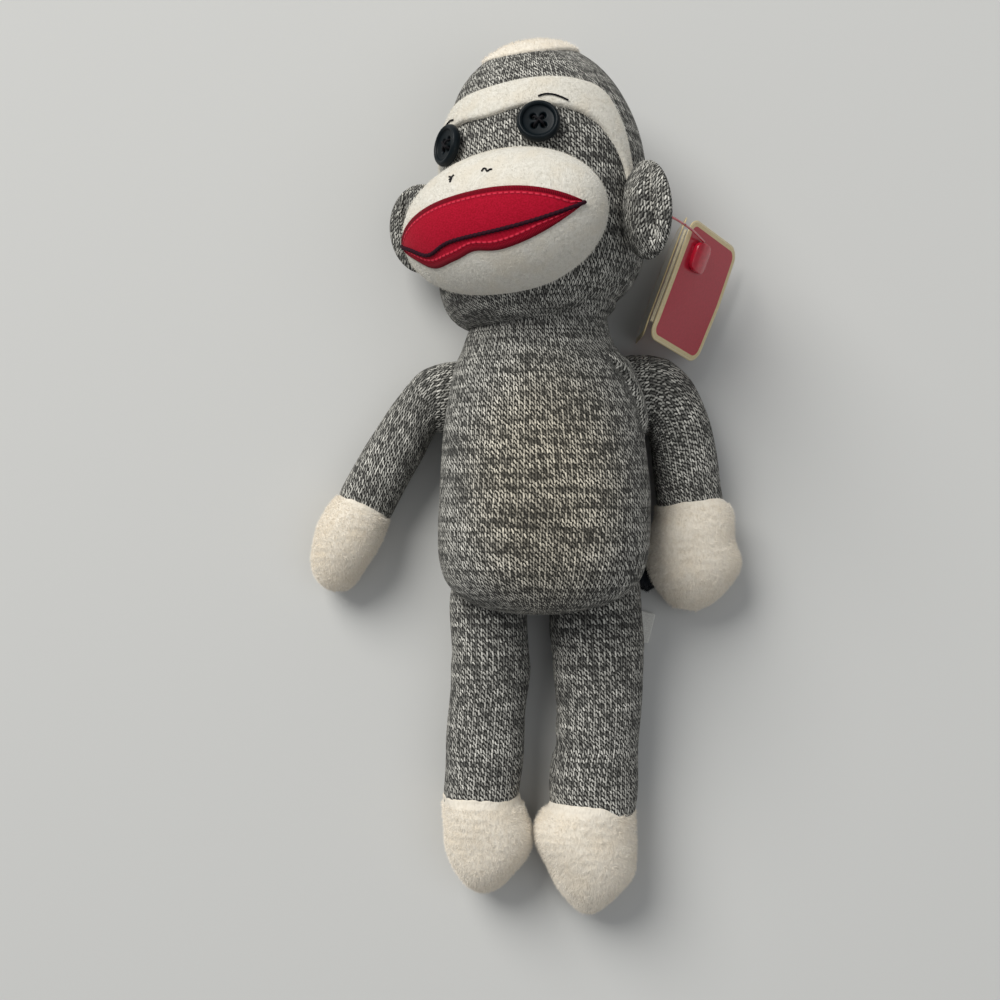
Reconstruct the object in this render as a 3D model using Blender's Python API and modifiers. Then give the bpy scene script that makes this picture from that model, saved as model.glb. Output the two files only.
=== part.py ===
"""Sock monkey doll: knit body and limbs, plush muzzle, hands and feet, button eyes, swing tag.

The doll lies on its back. +Z points out of its chest, +Y runs to its crown and +X to its
own left. The origin is on the flat of its back. Lengths are in metres.
"""
import math

import bmesh
import bpy
from mathutils import Matrix, Vector

# Clearances shared by every piece
GAP = 0.0003
BALL_GAP = 0.0004
REST_CUT = 0.0005
OVERRUN = 0.0200
WELD = 0.00001
KNIT_WALL = 0.0012

# Torso
TORSO_HALF_WIDTH = 0.0302
TORSO_HALF_DEPTH = 0.0255
SEAT_Y = -0.0375
NECK_BASE_Y = 0.0420
SHOULDER_LEAN = 0.0015
SHOULDER_LEAN_Y = 0.0200
POUCH_TOP_Y = -0.0220

# Neck
NECK_HALF_WIDTH = 0.0180
NECK_LENGTH = 0.0070
NECK_X = 0.0010
NECK_THREAD_RADIUS = 0.0005

# Head: an egg on its own frame, turned and tilted
HEAD_RADIUS = 0.0288
CROWN_HEIGHT = 0.0390
JAW_DEPTH = 0.0415
HEAD_Y = 0.0831
HEAD_ROLL_DEG = 4.7
HEAD_PITCH_DEG = -4.1
HEAD_YAW_DEG = -32.0
CROWN_POWER = 2.0
JAW_POWER = 3.5
JAW_LEAN = 0.0100
LEAN_POWER = 2.5

# Plush pieces on the head
PLUSH_WALL = 0.0010
BAND_TOP = 0.0228
BAND_DEPTH = 0.0092
BAND_END_Y = -0.0020
PATCH_RADIUS = 0.0138
PATCH_X = 0.0010
PATCH_FORWARD = 0.0045
MUZZLE_HALF_WIDTH = 0.0302
MUZZLE_HALF_HEIGHT = 0.0191
MUZZLE_HALF_DEPTH = 0.0185
MUZZLE_Y = -0.0156
MUZZLE_OUT = 0.0255

# Mouth, nostrils and eyebrows
LIP_WALL = 0.0008
MOUTH_HALF_WIDTH = 0.0282
MOUTH_CORNER_Y = -0.0172
UPPER_LIP_RISE = 0.0064
MOUTH_LINE_DROP = 0.0050
LOWER_LIP_DROP = 0.0098
MOUTH_CORD_RADIUS = 0.0005
STITCH_RADIUS = 0.0003
NOSTRIL_X = 0.0052
NOSTRIL_Y = -0.0053
NOSTRIL_LENGTH = 0.0028
EYEBROW_X = 0.0163
EYEBROW_Y = 0.0150
EYEBROW_HALF_LENGTH = 0.0040

# Eyes: four-hole buttons
BUTTON_RADIUS = 0.0057
BUTTON_THICKNESS = 0.0026
BUTTON_RIM = 0.0011
BUTTON_DISH = 0.0007
BUTTON_HOLE_RADIUS = 0.0007
BUTTON_HOLE_PITCH = 0.0026
BUTTON_STANDOFF = 0.0011
EYE_X = 0.0131
EYE_Y = 0.0079
EYE_THREAD_RADIUS = 0.0003

# Ears
EAR_REACH = 0.0200
EAR_HALF_LENGTH = 0.0130
EAR_HALF_THICKNESS = 0.0034
LEFT_EAR_Y = -0.0161
RIGHT_EAR_Y = -0.0060
EAR_FORWARD_DEG = 27.0
EAR_TACK_OUT = 0.0112
EAR_TACK_ALONG = -0.0020

# Arms: across and down from the root in the torso to the cuff
ARM_ROOT_X = 0.0140
LEFT_ARM_ROOT_Y = 0.0245
LEFT_ARM_OUT = 0.0293
LEFT_ARM_DOWN = 0.0319
LEFT_ARM_HALF_WIDTH = 0.0104
RIGHT_ARM_ROOT_Y = 0.0265
RIGHT_ARM_OUT = 0.0368
RIGHT_ARM_DOWN = 0.0339
RIGHT_ARM_HALF_WIDTH = 0.0092
WRIST_HALF_WIDTH = 0.0084
WRIST_BALL_RADIUS = 0.0093
SHOULDER_X = 0.0310
SHOULDER_Y = 0.0245
SHOULDER_SPLIT = 0.0090

# Hands
LEFT_HAND_LENGTH = 0.0262
LEFT_HAND_HALF_WIDTH = 0.0130
RIGHT_HAND_LENGTH = 0.0226
RIGHT_HAND_HALF_WIDTH = 0.0107

# Legs
LEG_ROOT_Y = -0.0240
LEFT_LEG_X = 0.0163
RIGHT_LEG_X = -0.0152
LEFT_LEG_LENGTH = 0.0746
RIGHT_LEG_LENGTH = 0.0708
LEFT_LEG_DRIFT = 0.0016
RIGHT_LEG_DRIFT = 0.0021
LEFT_LEG_HALF_WIDTH = 0.0125
RIGHT_LEG_HALF_WIDTH = 0.0118
ANKLE_BALL_MARGIN = 0.0007
HIP_Y = -0.0505
HIP_SPLIT = 0.0080

# Feet
LEFT_FOOT_LENGTH = 0.0240
RIGHT_FOOT_LENGTH = 0.0217

# Tail and sewn label
TAIL_RADIUS = 0.0042
TAIL_INSET = 0.0087
TAIL_ROOT_Y = -0.0110
TAIL_OUT = 0.0092
TAIL_DOWN = 0.0160
TAIL_TIP_LENGTH = 0.0075
LABEL_LENGTH = 0.0110
LABEL_WIDTH = 0.0090
LABEL_THICKNESS = 0.0005
LABEL_X = 0.0234
LABEL_Y = -0.0415
LABEL_TURN_DEG = -14.0

# Swing tag: a folded card that stands like a tent, tied to the left ear
TAG_LENGTH = 0.0360
TAG_WIDTH = 0.0280
TAG_THICKNESS = 0.0005
TAG_CORNER = 0.0040
TAG_SPINE_X = 0.0412
TAG_SPINE_Y = 0.0744
TAG_SPINE_TURN_DEG = -20.5
TAG_OPEN_DEG = 39.2
TAG_HOLE_RADIUS = 0.0012
TAG_HOLE_INSET = 0.0050
FILAMENT_RADIUS = 0.0004
TACK_BAR_LENGTH = 0.0060
PADDLE_LENGTH = 0.0085
PADDLE_WIDTH = 0.0062
PADDLE_THICKNESS = 0.0011
PADDLE_CORNER = 0.0022

# Resolution
TURN_STEPS = 28
INNER_STEPS = 16
BALL_SEGMENTS = 18
CAGE_SIDES = 8

# A ring of eight cage points shrinks to this much less when it is smoothed
CAGE_FILL_SHARE = 1.108

# Outlines, as shares of the sizes that they follow
LIP_REACH_SHARE = 0.94
BAND_POWER = 4.0
BAND_UNDER_SHARE = 0.875
MOUTH_POWER = 2.6
LOWER_LIP_POWER = 2.4
MOUTH_CORNER_POWER = 0.8
CUSP_DEPTH_SHARE = 0.12
CUSP_WIDTH_SHARE = 0.16
EYEBROW_SLOPE_SHARE = 0.25
EYEBROW_ARCH_SHARE = 0.20
TORSO_PROFILE_SHARES = (
    (1.000, 0.630), (0.930, 0.710), (0.850, 0.825), (0.720, 0.895), (0.600, 0.950), (0.480, 0.995),
    (0.360, 1.000), (0.220, 0.985), (0.120, 0.920), (0.055, 0.780), (0.015, 0.460), (0.000, 0.000),
)
LEFT_ARM_SHARES = (
    (0.00, 0.000, 1.05), (0.44, -0.063, 1.03), (0.67, -0.031, 1.00), (0.84, 0.157, 1.00),
    (0.91, 0.480, 0.96), (0.96, 0.770, 0.88), (1.00, 1.000, 0.81), (1.03, 1.200, 0.81),
)
RIGHT_ARM_SHARES = (
    (0.00, 0.000, 1.05), (0.30, 0.015, 1.05), (0.52, 0.118, 0.99), (0.67, 0.339, 0.90),
    (0.83, 0.649, 0.87), (0.95, 0.900, 0.90), (1.00, 1.000, 0.91), (1.09, 1.195, 0.91),
)
LEG_SHARES = ((0.00, 0.96), (0.20, 1.00), (0.45, 1.00), (0.66, 0.97), (0.80, 0.99), (1.08, 0.99))
LEFT_HAND_SHARES = (
    (0.00, -0.16, 0.50, 0.50), (0.00, 0.04, 0.78, 0.74), (0.02, 0.40, 1.06, 0.84),
    (0.00, 0.72, 0.90, 0.76), (-0.02, 1.02, 0.44, 0.46),
)
RIGHT_HAND_SHARES = (
    (0.00, -0.18, 0.58, 0.60), (0.00, 0.05, 0.92, 0.90), (-0.01, 0.36, 1.06, 0.95),
    (-0.07, 0.70, 0.90, 0.82), (-0.11, 1.03, 0.44, 0.44),
)
LEFT_FOOT_SHARES = (
    (0.00, -0.20, 0.60, 0.62), (0.01, 0.04, 1.03, 1.02), (0.04, 0.28, 1.09, 1.04),
    (0.03, 0.66, 0.84, 0.86), (0.05, 1.03, 0.44, 0.46),
)
RIGHT_FOOT_SHARES = (
    (0.00, -0.20, 0.60, 0.62), (-0.01, 0.04, 1.03, 1.02), (-0.06, 0.28, 1.09, 1.04),
    (-0.04, 0.66, 0.90, 0.86), (-0.01, 1.03, 0.44, 0.46),
)
TAIL_SHARES = (
    (0.0, 0.0, 1.00), (0.2, 0.45, 1.00), (0.6, 0.85, 0.98), (1.0, 1.10, 0.90), (1.25, 1.25, 0.55),
)

KNIT = ("grey_knit", (0.17, 0.17, 0.17), 0.95)
PLUSH_WHITE = ("white_plush", (0.80, 0.77, 0.70), 0.95)
PLUSH_CREAM = ("cream_plush", (0.72, 0.66, 0.54), 0.95)
RED_FELT = ("red_felt", (0.50, 0.004, 0.02), 0.85)
BLACK_THREAD = ("black_thread", (0.01, 0.01, 0.012), 0.70)
BLACK_PLUSH = ("black_plush", (0.01, 0.012, 0.015), 0.95)
BLACK_BUTTON = ("black_button", (0.012, 0.014, 0.02), 0.25)
RED_PLASTIC = ("red_plastic", (0.55, 0.01, 0.03), 0.20)
RED_CARD = ("red_card", (0.50, 0.01, 0.03), 0.35)
WHITE_CARD = ("white_card", (0.80, 0.78, 0.72), 0.55)
LABEL_CLOTH = ("label_cloth", (0.75, 0.75, 0.72), 0.80)
FILLING = ("polyester_filling", (0.85, 0.85, 0.85), 1.00)
PELLETS = ("pellet_bag", (0.75, 0.75, 0.75), 0.60)


# Scene set-up
def clear_scene():
    for obj in list(bpy.data.objects):
        bpy.data.objects.remove(obj)


def new_collection(name):
    collection = bpy.data.collections.new(name)
    bpy.context.scene.collection.children.link(collection)
    return collection


def material(look):
    name, colour, roughness = look
    if name in bpy.data.materials:
        return bpy.data.materials[name]
    made = bpy.data.materials.new(name)
    made.use_nodes = True
    shader = made.node_tree.nodes["Principled BSDF"]
    shader.inputs["Base Color"].default_value = (*colour, 1.0)
    shader.inputs["Roughness"].default_value = roughness
    shader.inputs["Metallic"].default_value = 0.0
    return made


clear_scene()
PARTS = new_collection("sock_monkey_doll")
CUTTERS = new_collection("cutters")


# Turns a mesh in world space into a named part whose origin is on its joint
def add_part(name, mesh, look, pivot=(0, 0, 0)):
    mesh.name = name
    mesh.materials.clear()
    mesh.materials.append(material(look))
    mesh.transform(Matrix.Translation(-Vector(pivot)))
    obj = bpy.data.objects.new(name, mesh)
    obj.location = pivot
    PARTS.objects.link(obj)
    mesh.shade_smooth()
    mesh.set_sharp_from_angle(angle=math.radians(50))
    return obj


def add_cutter(name, mesh):
    cutter = bpy.data.objects.new(name, mesh)
    cutter.hide_render = True
    cutter.display_type = "WIRE"
    CUTTERS.objects.link(cutter)
    return cutter


def apply_boolean(obj, cutter, operation="DIFFERENCE"):
    modifier = obj.modifiers.new(cutter.name, "BOOLEAN")
    modifier.operation = operation
    modifier.object = cutter
    return modifier


def evaluated_mesh(obj):
    depsgraph = bpy.context.evaluated_depsgraph_get()
    depsgraph.update()
    return bpy.data.meshes.new_from_object(obj.evaluated_get(depsgraph))


# Gives the mesh that an object's modifiers leave, and removes the object
def baked(obj):
    bpy.context.view_layer.update()
    mesh = evaluated_mesh(obj)
    mesh.transform(obj.matrix_world)
    bpy.data.objects.remove(obj)
    return mesh


def mesh_from(bm, name="form"):
    bmesh.ops.recalc_face_normals(bm, faces=bm.faces)
    mesh = bpy.data.meshes.new(name)
    bm.to_mesh(mesh)
    bm.free()
    return mesh


# A profile of (radius, height) points, top to bottom, turned about Z
def turned(profile, steps=TURN_STEPS):
    mesh = bpy.data.meshes.new("profile")
    points = [(radius, 0, height) for radius, height in profile]
    edges = [(i, i + 1) for i in range(len(points) - 1)]
    mesh.from_pydata(points, edges, [])
    obj = bpy.data.objects.new("profile", mesh)
    CUTTERS.objects.link(obj)
    screw = obj.modifiers.new("turn", "SCREW")
    screw.steps = steps
    screw.render_steps = steps
    screw.use_merge_vertices = True
    screw.merge_threshold = WELD
    made = baked(obj)
    bm = bmesh.new()
    bm.from_mesh(made)
    bmesh.ops.remove_doubles(bm, verts=bm.verts, dist=WELD)
    open_edges = [edge for edge in bm.edges if edge.is_boundary]
    if open_edges:
        bmesh.ops.holes_fill(bm, edges=open_edges, sides=0)
    return mesh_from(bm)


def sphere(radii, centre=(0, 0, 0), segments=BALL_SEGMENTS):
    bm = bmesh.new()
    bmesh.ops.create_uvsphere(bm, u_segments=segments, v_segments=segments // 2, radius=1)
    mesh = mesh_from(bm)
    mesh.transform(Matrix.Translation(centre) @ Matrix.Diagonal((*radii, 1)))
    return mesh


def ball(radius, centre):
    return sphere((radius, radius, radius), centre)


def box(low, high):
    bm = bmesh.new()
    bmesh.ops.create_cube(bm, size=1)
    mesh = mesh_from(bm)
    low, high = Vector(low), Vector(high)
    mesh.transform(Matrix.Translation((low + high) / 2) @ Matrix.Diagonal((*(high - low), 1)))
    return mesh


# A flat card with rounded corners, centred on its middle
def card(length, width, thickness, corner):
    bm = bmesh.new()
    bmesh.ops.create_cube(bm, size=1)
    bmesh.ops.scale(bm, vec=(width, length, thickness), verts=bm.verts)
    upright = [edge for edge in bm.edges if abs((edge.verts[0].co - edge.verts[1].co).z) > thickness / 2]
    bmesh.ops.bevel(bm, geom=upright, offset=corner, segments=5, profile=0.5, affect="EDGES")
    return mesh_from(bm)


# A tube through points, capped at its ends or joined into a ring
def tube(points, radius, resolution=2, closed=False):
    curve = bpy.data.curves.new("tube", "CURVE")
    curve.dimensions = "3D"
    curve.bevel_depth = radius
    curve.bevel_resolution = resolution
    curve.use_fill_caps = True
    spline = curve.splines.new("POLY")
    spline.points.add(len(points) - 1)
    for place, point in zip(spline.points, points):
        place.co = (*point, 1)
    spline.use_cyclic_u = closed
    obj = bpy.data.objects.new("tube", curve)
    CUTTERS.objects.link(obj)
    made = baked(obj)
    bm = bmesh.new()
    bm.from_mesh(made)
    bmesh.ops.remove_doubles(bm, verts=bm.verts, dist=WELD)
    return mesh_from(bm)


# A prism along Z over a flat outline
def prism(outline, low, high):
    bm = bmesh.new()
    floor = [bm.verts.new((x, y, low)) for x, y in outline]
    face = bm.faces.new(floor)
    raised = bmesh.ops.extrude_face_region(bm, geom=[face])["geom"]
    tops = [item for item in raised if isinstance(item, bmesh.types.BMVert)]
    bmesh.ops.translate(bm, vec=(0, 0, high - low), verts=tops)
    return mesh_from(bm)


# A stuffed form: rings of a coarse cage along a path on the floor, smoothed by subdivision.
# Each station is (x, y, half width, half depth) and its ring rests on the floor.
def stuffed(stations, levels=1):
    bm = bmesh.new()
    rings = []
    count = len(stations)
    for i, (x, y, half_width, half_depth) in enumerate(stations):
        before = stations[max(i - 1, 0)]
        after = stations[min(i + 1, count - 1)]
        along = Vector((after[0] - before[0], after[1] - before[1], 0)).normalized()
        across = along.cross(Vector((0, 0, 1)))
        centre = Vector((x, y, half_depth - REST_CUT))
        ring = []
        for k in range(CAGE_SIDES):
            angle = 2 * math.pi * (k + 0.5) / CAGE_SIDES
            side = across * (half_width * CAGE_FILL_SHARE * math.cos(angle))
            rise = Vector((0, 0, half_depth * CAGE_FILL_SHARE * math.sin(angle)))
            ring.append(bm.verts.new(centre + side + rise))
        rings.append(ring)
    for lower, upper in zip(rings, rings[1:]):
        for k in range(CAGE_SIDES):
            after = (k + 1) % CAGE_SIDES
            bm.faces.new((lower[k], lower[after], upper[after], upper[k]))
    bm.faces.new(list(reversed(rings[0])))
    bm.faces.new(rings[-1])
    obj = bpy.data.objects.new("cage", mesh_from(bm))
    CUTTERS.objects.link(obj)
    smoothing = obj.modifiers.new("smooth", "SUBSURF")
    smoothing.levels = levels
    smoothing.render_levels = levels
    return baked(obj)


# A large block beyond a plane, on the side that the direction points to
def beyond(name, point, direction):
    block = box((-OVERRUN * 2, 0, -OVERRUN * 2), (OVERRUN * 2, OVERRUN * 4, OVERRUN * 4))
    turn = Vector((0, 1, 0)).rotation_difference(Vector(direction).normalized())
    block.transform(Matrix.Translation(point) @ turn.to_matrix().to_4x4())
    return add_cutter(name, block)


FLOOR = add_cutter("floor", box((-OVERRUN * 8, -OVERRUN * 8, -OVERRUN), (OVERRUN * 8, OVERRUN * 8, 0)))


# Torso: a pear, round across and less deep than wide
TORSO_Z = TORSO_HALF_DEPTH - REST_CUT
TORSO_LENGTH = NECK_BASE_Y - SEAT_Y


def torso_form(growth, top_rise=0.0, steps=TURN_STEPS):
    profile = [(TORSO_PROFILE_SHARES[0][1] * TORSO_HALF_WIDTH + growth, NECK_BASE_Y + top_rise)]
    for height, width in TORSO_PROFILE_SHARES[:-1]:
        profile.append((width * TORSO_HALF_WIDTH + growth, SEAT_Y + height * TORSO_LENGTH))
    profile.append((0, SEAT_Y - growth))
    mesh = turned(profile, steps)
    depth_share = (TORSO_HALF_DEPTH + growth) / (TORSO_HALF_WIDTH + growth)
    lay_down = Matrix.Rotation(math.radians(-90), 4, "X")
    mesh.transform(Matrix.Translation((0, 0, TORSO_Z)) @ lay_down @ Matrix.Diagonal((1, depth_share, 1, 1)))
    # The top leans towards the doll's right, where the head hangs over
    for vertex in mesh.vertices:
        share = (vertex.co.y - SHOULDER_LEAN_Y) / (NECK_BASE_Y - SHOULDER_LEAN_Y)
        vertex.co.x -= SHOULDER_LEAN * min(max(share, 0), 1)
    return mesh


TORSO_SKIN_CUTTER = add_cutter("torso_clearance", torso_form(GAP, OVERRUN))
TORSO_HOLLOW = add_cutter("torso_hollow", torso_form(-KNIT_WALL, OVERRUN, INNER_STEPS))


def build_torso():
    skin = add_part("torso_knit", torso_form(0), KNIT)
    apply_boolean(skin, TORSO_HOLLOW)
    apply_boolean(skin, FLOOR)

    split = Vector((0, POUCH_TOP_Y, TORSO_Z))
    upper_block = beyond("pouch_top", split - Vector((0, GAP, 0)), (0, 1, 0))
    lower_block = beyond("filling_bottom", split, (0, -1, 0))
    neck_block = beyond("torso_neck_plane", (0, NECK_BASE_Y, TORSO_Z), (0, 1, 0))
    filling = add_part("torso_stuffing", torso_form(-KNIT_WALL - GAP, GAP, INNER_STEPS), FILLING)
    apply_boolean(filling, lower_block)
    apply_boolean(filling, neck_block)
    pouch = add_part("pellet_pouch", torso_form(-KNIT_WALL - GAP, GAP, INNER_STEPS), PELLETS)
    apply_boolean(pouch, upper_block)


# Head frame: its origin is the centre of the egg
HEAD_Z = HEAD_RADIUS - REST_CUT
HEAD_FRAME = (
    Matrix.Translation((NECK_X, HEAD_Y, HEAD_Z))
    @ Matrix.Rotation(math.radians(HEAD_ROLL_DEG), 4, "Z")
    @ Matrix.Rotation(math.radians(HEAD_PITCH_DEG), 4, "X")
    @ Matrix.Rotation(math.radians(HEAD_YAW_DEG), 4, "Y")
)
HEAD_BASE_Y = NECK_BASE_Y + NECK_LENGTH
NECK_PIVOT = (NECK_X, NECK_BASE_Y + NECK_LENGTH / 2, HEAD_Z)


def egg_radius(y, growth=0.0):
    tall, power = (CROWN_HEIGHT, CROWN_POWER) if y > 0 else (JAW_DEPTH, JAW_POWER)
    share = min(abs(y) / (tall + growth), 1.0)
    return (HEAD_RADIUS + growth) * (1 - share ** power) ** (1 / power)


# The doll lies with its jaw pushed to its right: how far the egg's middle moves at height y
LEAN_WAY = HEAD_FRAME.to_3x3().inverted() @ Vector((-1, 0, 0))


def lean(y):
    share = min(max((CROWN_HEIGHT - y) / (CROWN_HEIGHT + JAW_DEPTH), 0), 1)
    return LEAN_WAY * (JAW_LEAN * share ** LEAN_POWER)


def egg(growth, steps=TURN_STEPS, rows=7):
    profile = [(0, CROWN_HEIGHT + growth)]
    for i in range(1, rows):
        y = (CROWN_HEIGHT + growth) * math.cos(i * math.pi / 2 / rows)
        profile.append((egg_radius(y, growth), y))
    profile.append((HEAD_RADIUS + growth, 0))
    for i in range(1, rows):
        y = -(JAW_DEPTH + growth) * math.sin(i * math.pi / 2 / rows)
        profile.append((egg_radius(y, growth), y))
    profile.append((0, -JAW_DEPTH - growth))
    mesh = turned(profile, steps)
    mesh.transform(Matrix.Rotation(math.radians(-90), 4, "X"))
    for vertex in mesh.vertices:
        vertex.co += lean(vertex.co.y)
    return mesh


# A point on the egg's face side, given across and up in the head's frame, and its normal
def face_point(x, y, rise):
    radius = egg_radius(y)
    middle = lean(y)
    x -= middle.x
    z = math.sqrt(max(radius * radius - x * x, 0))
    step = EYE_THREAD_RADIUS
    slope = (egg_radius(y + step) - egg_radius(y - step)) / (2 * step)
    normal = Vector((x / radius, -slope, z / radius)).normalized()
    return Vector((x + middle.x, y, z + middle.z)) + normal * rise, normal


def muzzle_form(growth):
    radii = (MUZZLE_HALF_WIDTH + growth, MUZZLE_HALF_HEIGHT + growth, MUZZLE_HALF_DEPTH + growth)
    return sphere(radii, (0, MUZZLE_Y, MUZZLE_OUT), TURN_STEPS)


def muzzle_point(x, y, rise):
    radii = Vector((MUZZLE_HALF_WIDTH, MUZZLE_HALF_HEIGHT, MUZZLE_HALF_DEPTH))
    inside = 1 - (x / radii.x) ** 2 - ((y - MUZZLE_Y) / radii.y) ** 2
    z = radii.z * math.sqrt(max(inside, 0))
    normal = Vector((x / radii.x ** 2, (y - MUZZLE_Y) / radii.y ** 2, z / radii.z ** 2)).normalized()
    return Vector((x, y, MUZZLE_OUT + z)) + normal * rise


# Mouth curves across the muzzle, each reaching both corners
def mouth_bow(x, rise, power):
    share = min(abs(x) / MOUTH_HALF_WIDTH, 1.0)
    return MOUTH_CORNER_Y + rise * (1 - share ** power) ** MOUTH_CORNER_POWER


def upper_edge(x):
    return mouth_bow(x, UPPER_LIP_RISE, MOUTH_POWER)


def mouth_middle(x):
    return mouth_bow(x, -MOUTH_LINE_DROP, MOUTH_POWER)


def lower_edge(x):
    cusp = 1 - CUSP_DEPTH_SHARE * math.exp(-(x / MOUTH_HALF_WIDTH / CUSP_WIDTH_SHARE) ** 2)
    return mouth_bow(x, -LOWER_LIP_DROP * cusp, LOWER_LIP_POWER)


def spread(count, half_width):
    return [half_width * math.sin(math.pi / 2 * (2 * i / (count - 1) - 1)) for i in range(count)]


def head_cutter(name, mesh):
    mesh.transform(HEAD_FRAME)
    return add_cutter(name, mesh)


def head_part(name, mesh, look):
    mesh.transform(HEAD_FRAME)
    return add_part(name, mesh, look, NECK_PIVOT)


HEAD_CLEARANCE = head_cutter("head_clearance", egg(GAP))
NECK_PLANE = beyond("head_neck_plane", (0, HEAD_BASE_Y, HEAD_Z), (0, -1, 0))


def build_head():
    skin = head_part("head_knit", egg(0), KNIT)
    apply_boolean(skin, head_cutter("head_hollow", egg(-KNIT_WALL, INNER_STEPS)))
    apply_boolean(skin, NECK_PLANE)
    apply_boolean(skin, FLOOR)
    filling = head_part("head_stuffing", egg(-KNIT_WALL - GAP, INNER_STEPS), FILLING)
    apply_boolean(filling, NECK_PLANE)

    muzzle = head_part("muzzle", muzzle_form(0), PLUSH_WHITE)
    apply_boolean(muzzle, HEAD_CLEARANCE)


# Plush pieces sewn flat on the head: a layer of the egg cut to an outline
def head_layer(name, outline_mesh, look):
    layer = head_part(name, egg(GAP + PLUSH_WALL), look)
    apply_boolean(layer, head_cutter(name + "_outline", outline_mesh), "INTERSECT")
    apply_boolean(layer, HEAD_CLEARANCE)
    apply_boolean(layer, FLOOR)


BAND_REACH = HEAD_RADIUS + PLUSH_WALL * 2


def band_edge(x, top):
    share = min(abs(x) / BAND_REACH, 1.0)
    return BAND_END_Y + (top - BAND_END_Y) * (1 - share ** BAND_POWER) ** 0.5


def build_band_and_patch():
    across = spread(17, BAND_REACH)
    upper = [(x, band_edge(x, BAND_TOP)) for x in across]
    under = BAND_UNDER_SHARE
    lower = [(x * under, band_edge(x, BAND_TOP - BAND_DEPTH)) for x in reversed(across)]
    head_layer("brow_band", prism(upper + lower, 0, HEAD_RADIUS + OVERRUN), PLUSH_WHITE)
    head_layer("crown_patch", ball(PATCH_RADIUS, (PATCH_X, CROWN_HEIGHT, PATCH_FORWARD)), PLUSH_CREAM)


# Lips: a thin layer of the muzzle cut to each lip's outline
def lip(name, upper, lower):
    across = spread(21, MOUTH_HALF_WIDTH * LIP_REACH_SHARE)
    outline = [(x, upper(x)) for x in across] + [(x, lower(x)) for x in reversed(across)]
    piece = head_part(name, muzzle_form(GAP + LIP_WALL), RED_FELT)
    low = MUZZLE_OUT + LIP_WALL
    cut = head_cutter(name + "_outline", prism(outline, low, low + MUZZLE_HALF_DEPTH + OVERRUN))
    apply_boolean(piece, cut, "INTERSECT")
    apply_boolean(piece, MUZZLE_CLEARANCE)
    apply_boolean(piece, MOUTH_CORD_ROOM)


def mouth_cord(radius, half_width):
    rise = GAP + MOUTH_CORD_RADIUS
    steps = 24
    across = [half_width * (2 * i / steps - 1) for i in range(steps + 1)]
    return tube([muzzle_point(x, mouth_middle(x), rise) for x in across], radius)


MUZZLE_CLEARANCE = head_cutter("muzzle_clearance", muzzle_form(GAP))
MOUTH_CORD_ROOM = head_cutter("mouth_cord_room", mouth_cord(MOUTH_CORD_RADIUS + GAP, MOUTH_HALF_WIDTH + GAP))


def build_mouth():
    room = MOUTH_CORD_RADIUS + GAP
    lip("upper_lip", upper_edge, lambda x: mouth_middle(x) + room)
    lip("lower_lip", lambda x: mouth_middle(x) - room, lower_edge)
    head_part("mouth_line", mouth_cord(MOUTH_CORD_RADIUS, MOUTH_HALF_WIDTH), BLACK_THREAD)


def build_stitches():
    rise = GAP + STITCH_RADIUS
    band_rise = GAP * 2 + PLUSH_WALL + STITCH_RADIUS
    for side, name in ((1, "left"), (-1, "right")):
        half = NOSTRIL_LENGTH / 2
        nostril = []
        for t in (-1, 0, 1):
            nostril.append(muzzle_point(side * NOSTRIL_X + half * t, NOSTRIL_Y - half * t / 2, rise))
        head_part(name + "_nostril_stitch", tube(nostril, STITCH_RADIUS), BLACK_THREAD)
        brow = []
        for i in range(7):
            t = i / 3 - 1
            x = EYEBROW_X + EYEBROW_HALF_LENGTH * t
            y = EYEBROW_Y - EYEBROW_HALF_LENGTH * t * (EYEBROW_SLOPE_SHARE + EYEBROW_ARCH_SHARE * t)
            brow.append(face_point(side * x, y, band_rise)[0])
        head_part(name + "_eyebrow_stitch", tube(brow, STITCH_RADIUS), BLACK_THREAD)


# A four-hole button: dished face, raised rim, and the thread crossed through its holes
def button_profile():
    rim_inner = BUTTON_RADIUS - BUTTON_RIM
    floor = BUTTON_THICKNESS - BUTTON_DISH
    bevel = BUTTON_RIM / 4
    return [
        (0, floor), (rim_inner - bevel, floor), (rim_inner, BUTTON_THICKNESS - bevel),
        (rim_inner + bevel, BUTTON_THICKNESS), (BUTTON_RADIUS - bevel, BUTTON_THICKNESS),
        (BUTTON_RADIUS, BUTTON_THICKNESS - bevel), (BUTTON_RADIUS, bevel), (BUTTON_RADIUS - bevel, 0), (0, 0),
    ]


def hole_places():
    half = BUTTON_HOLE_PITCH / 2
    return [(half, half), (-half, half), (-half, -half), (half, -half)]


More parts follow.
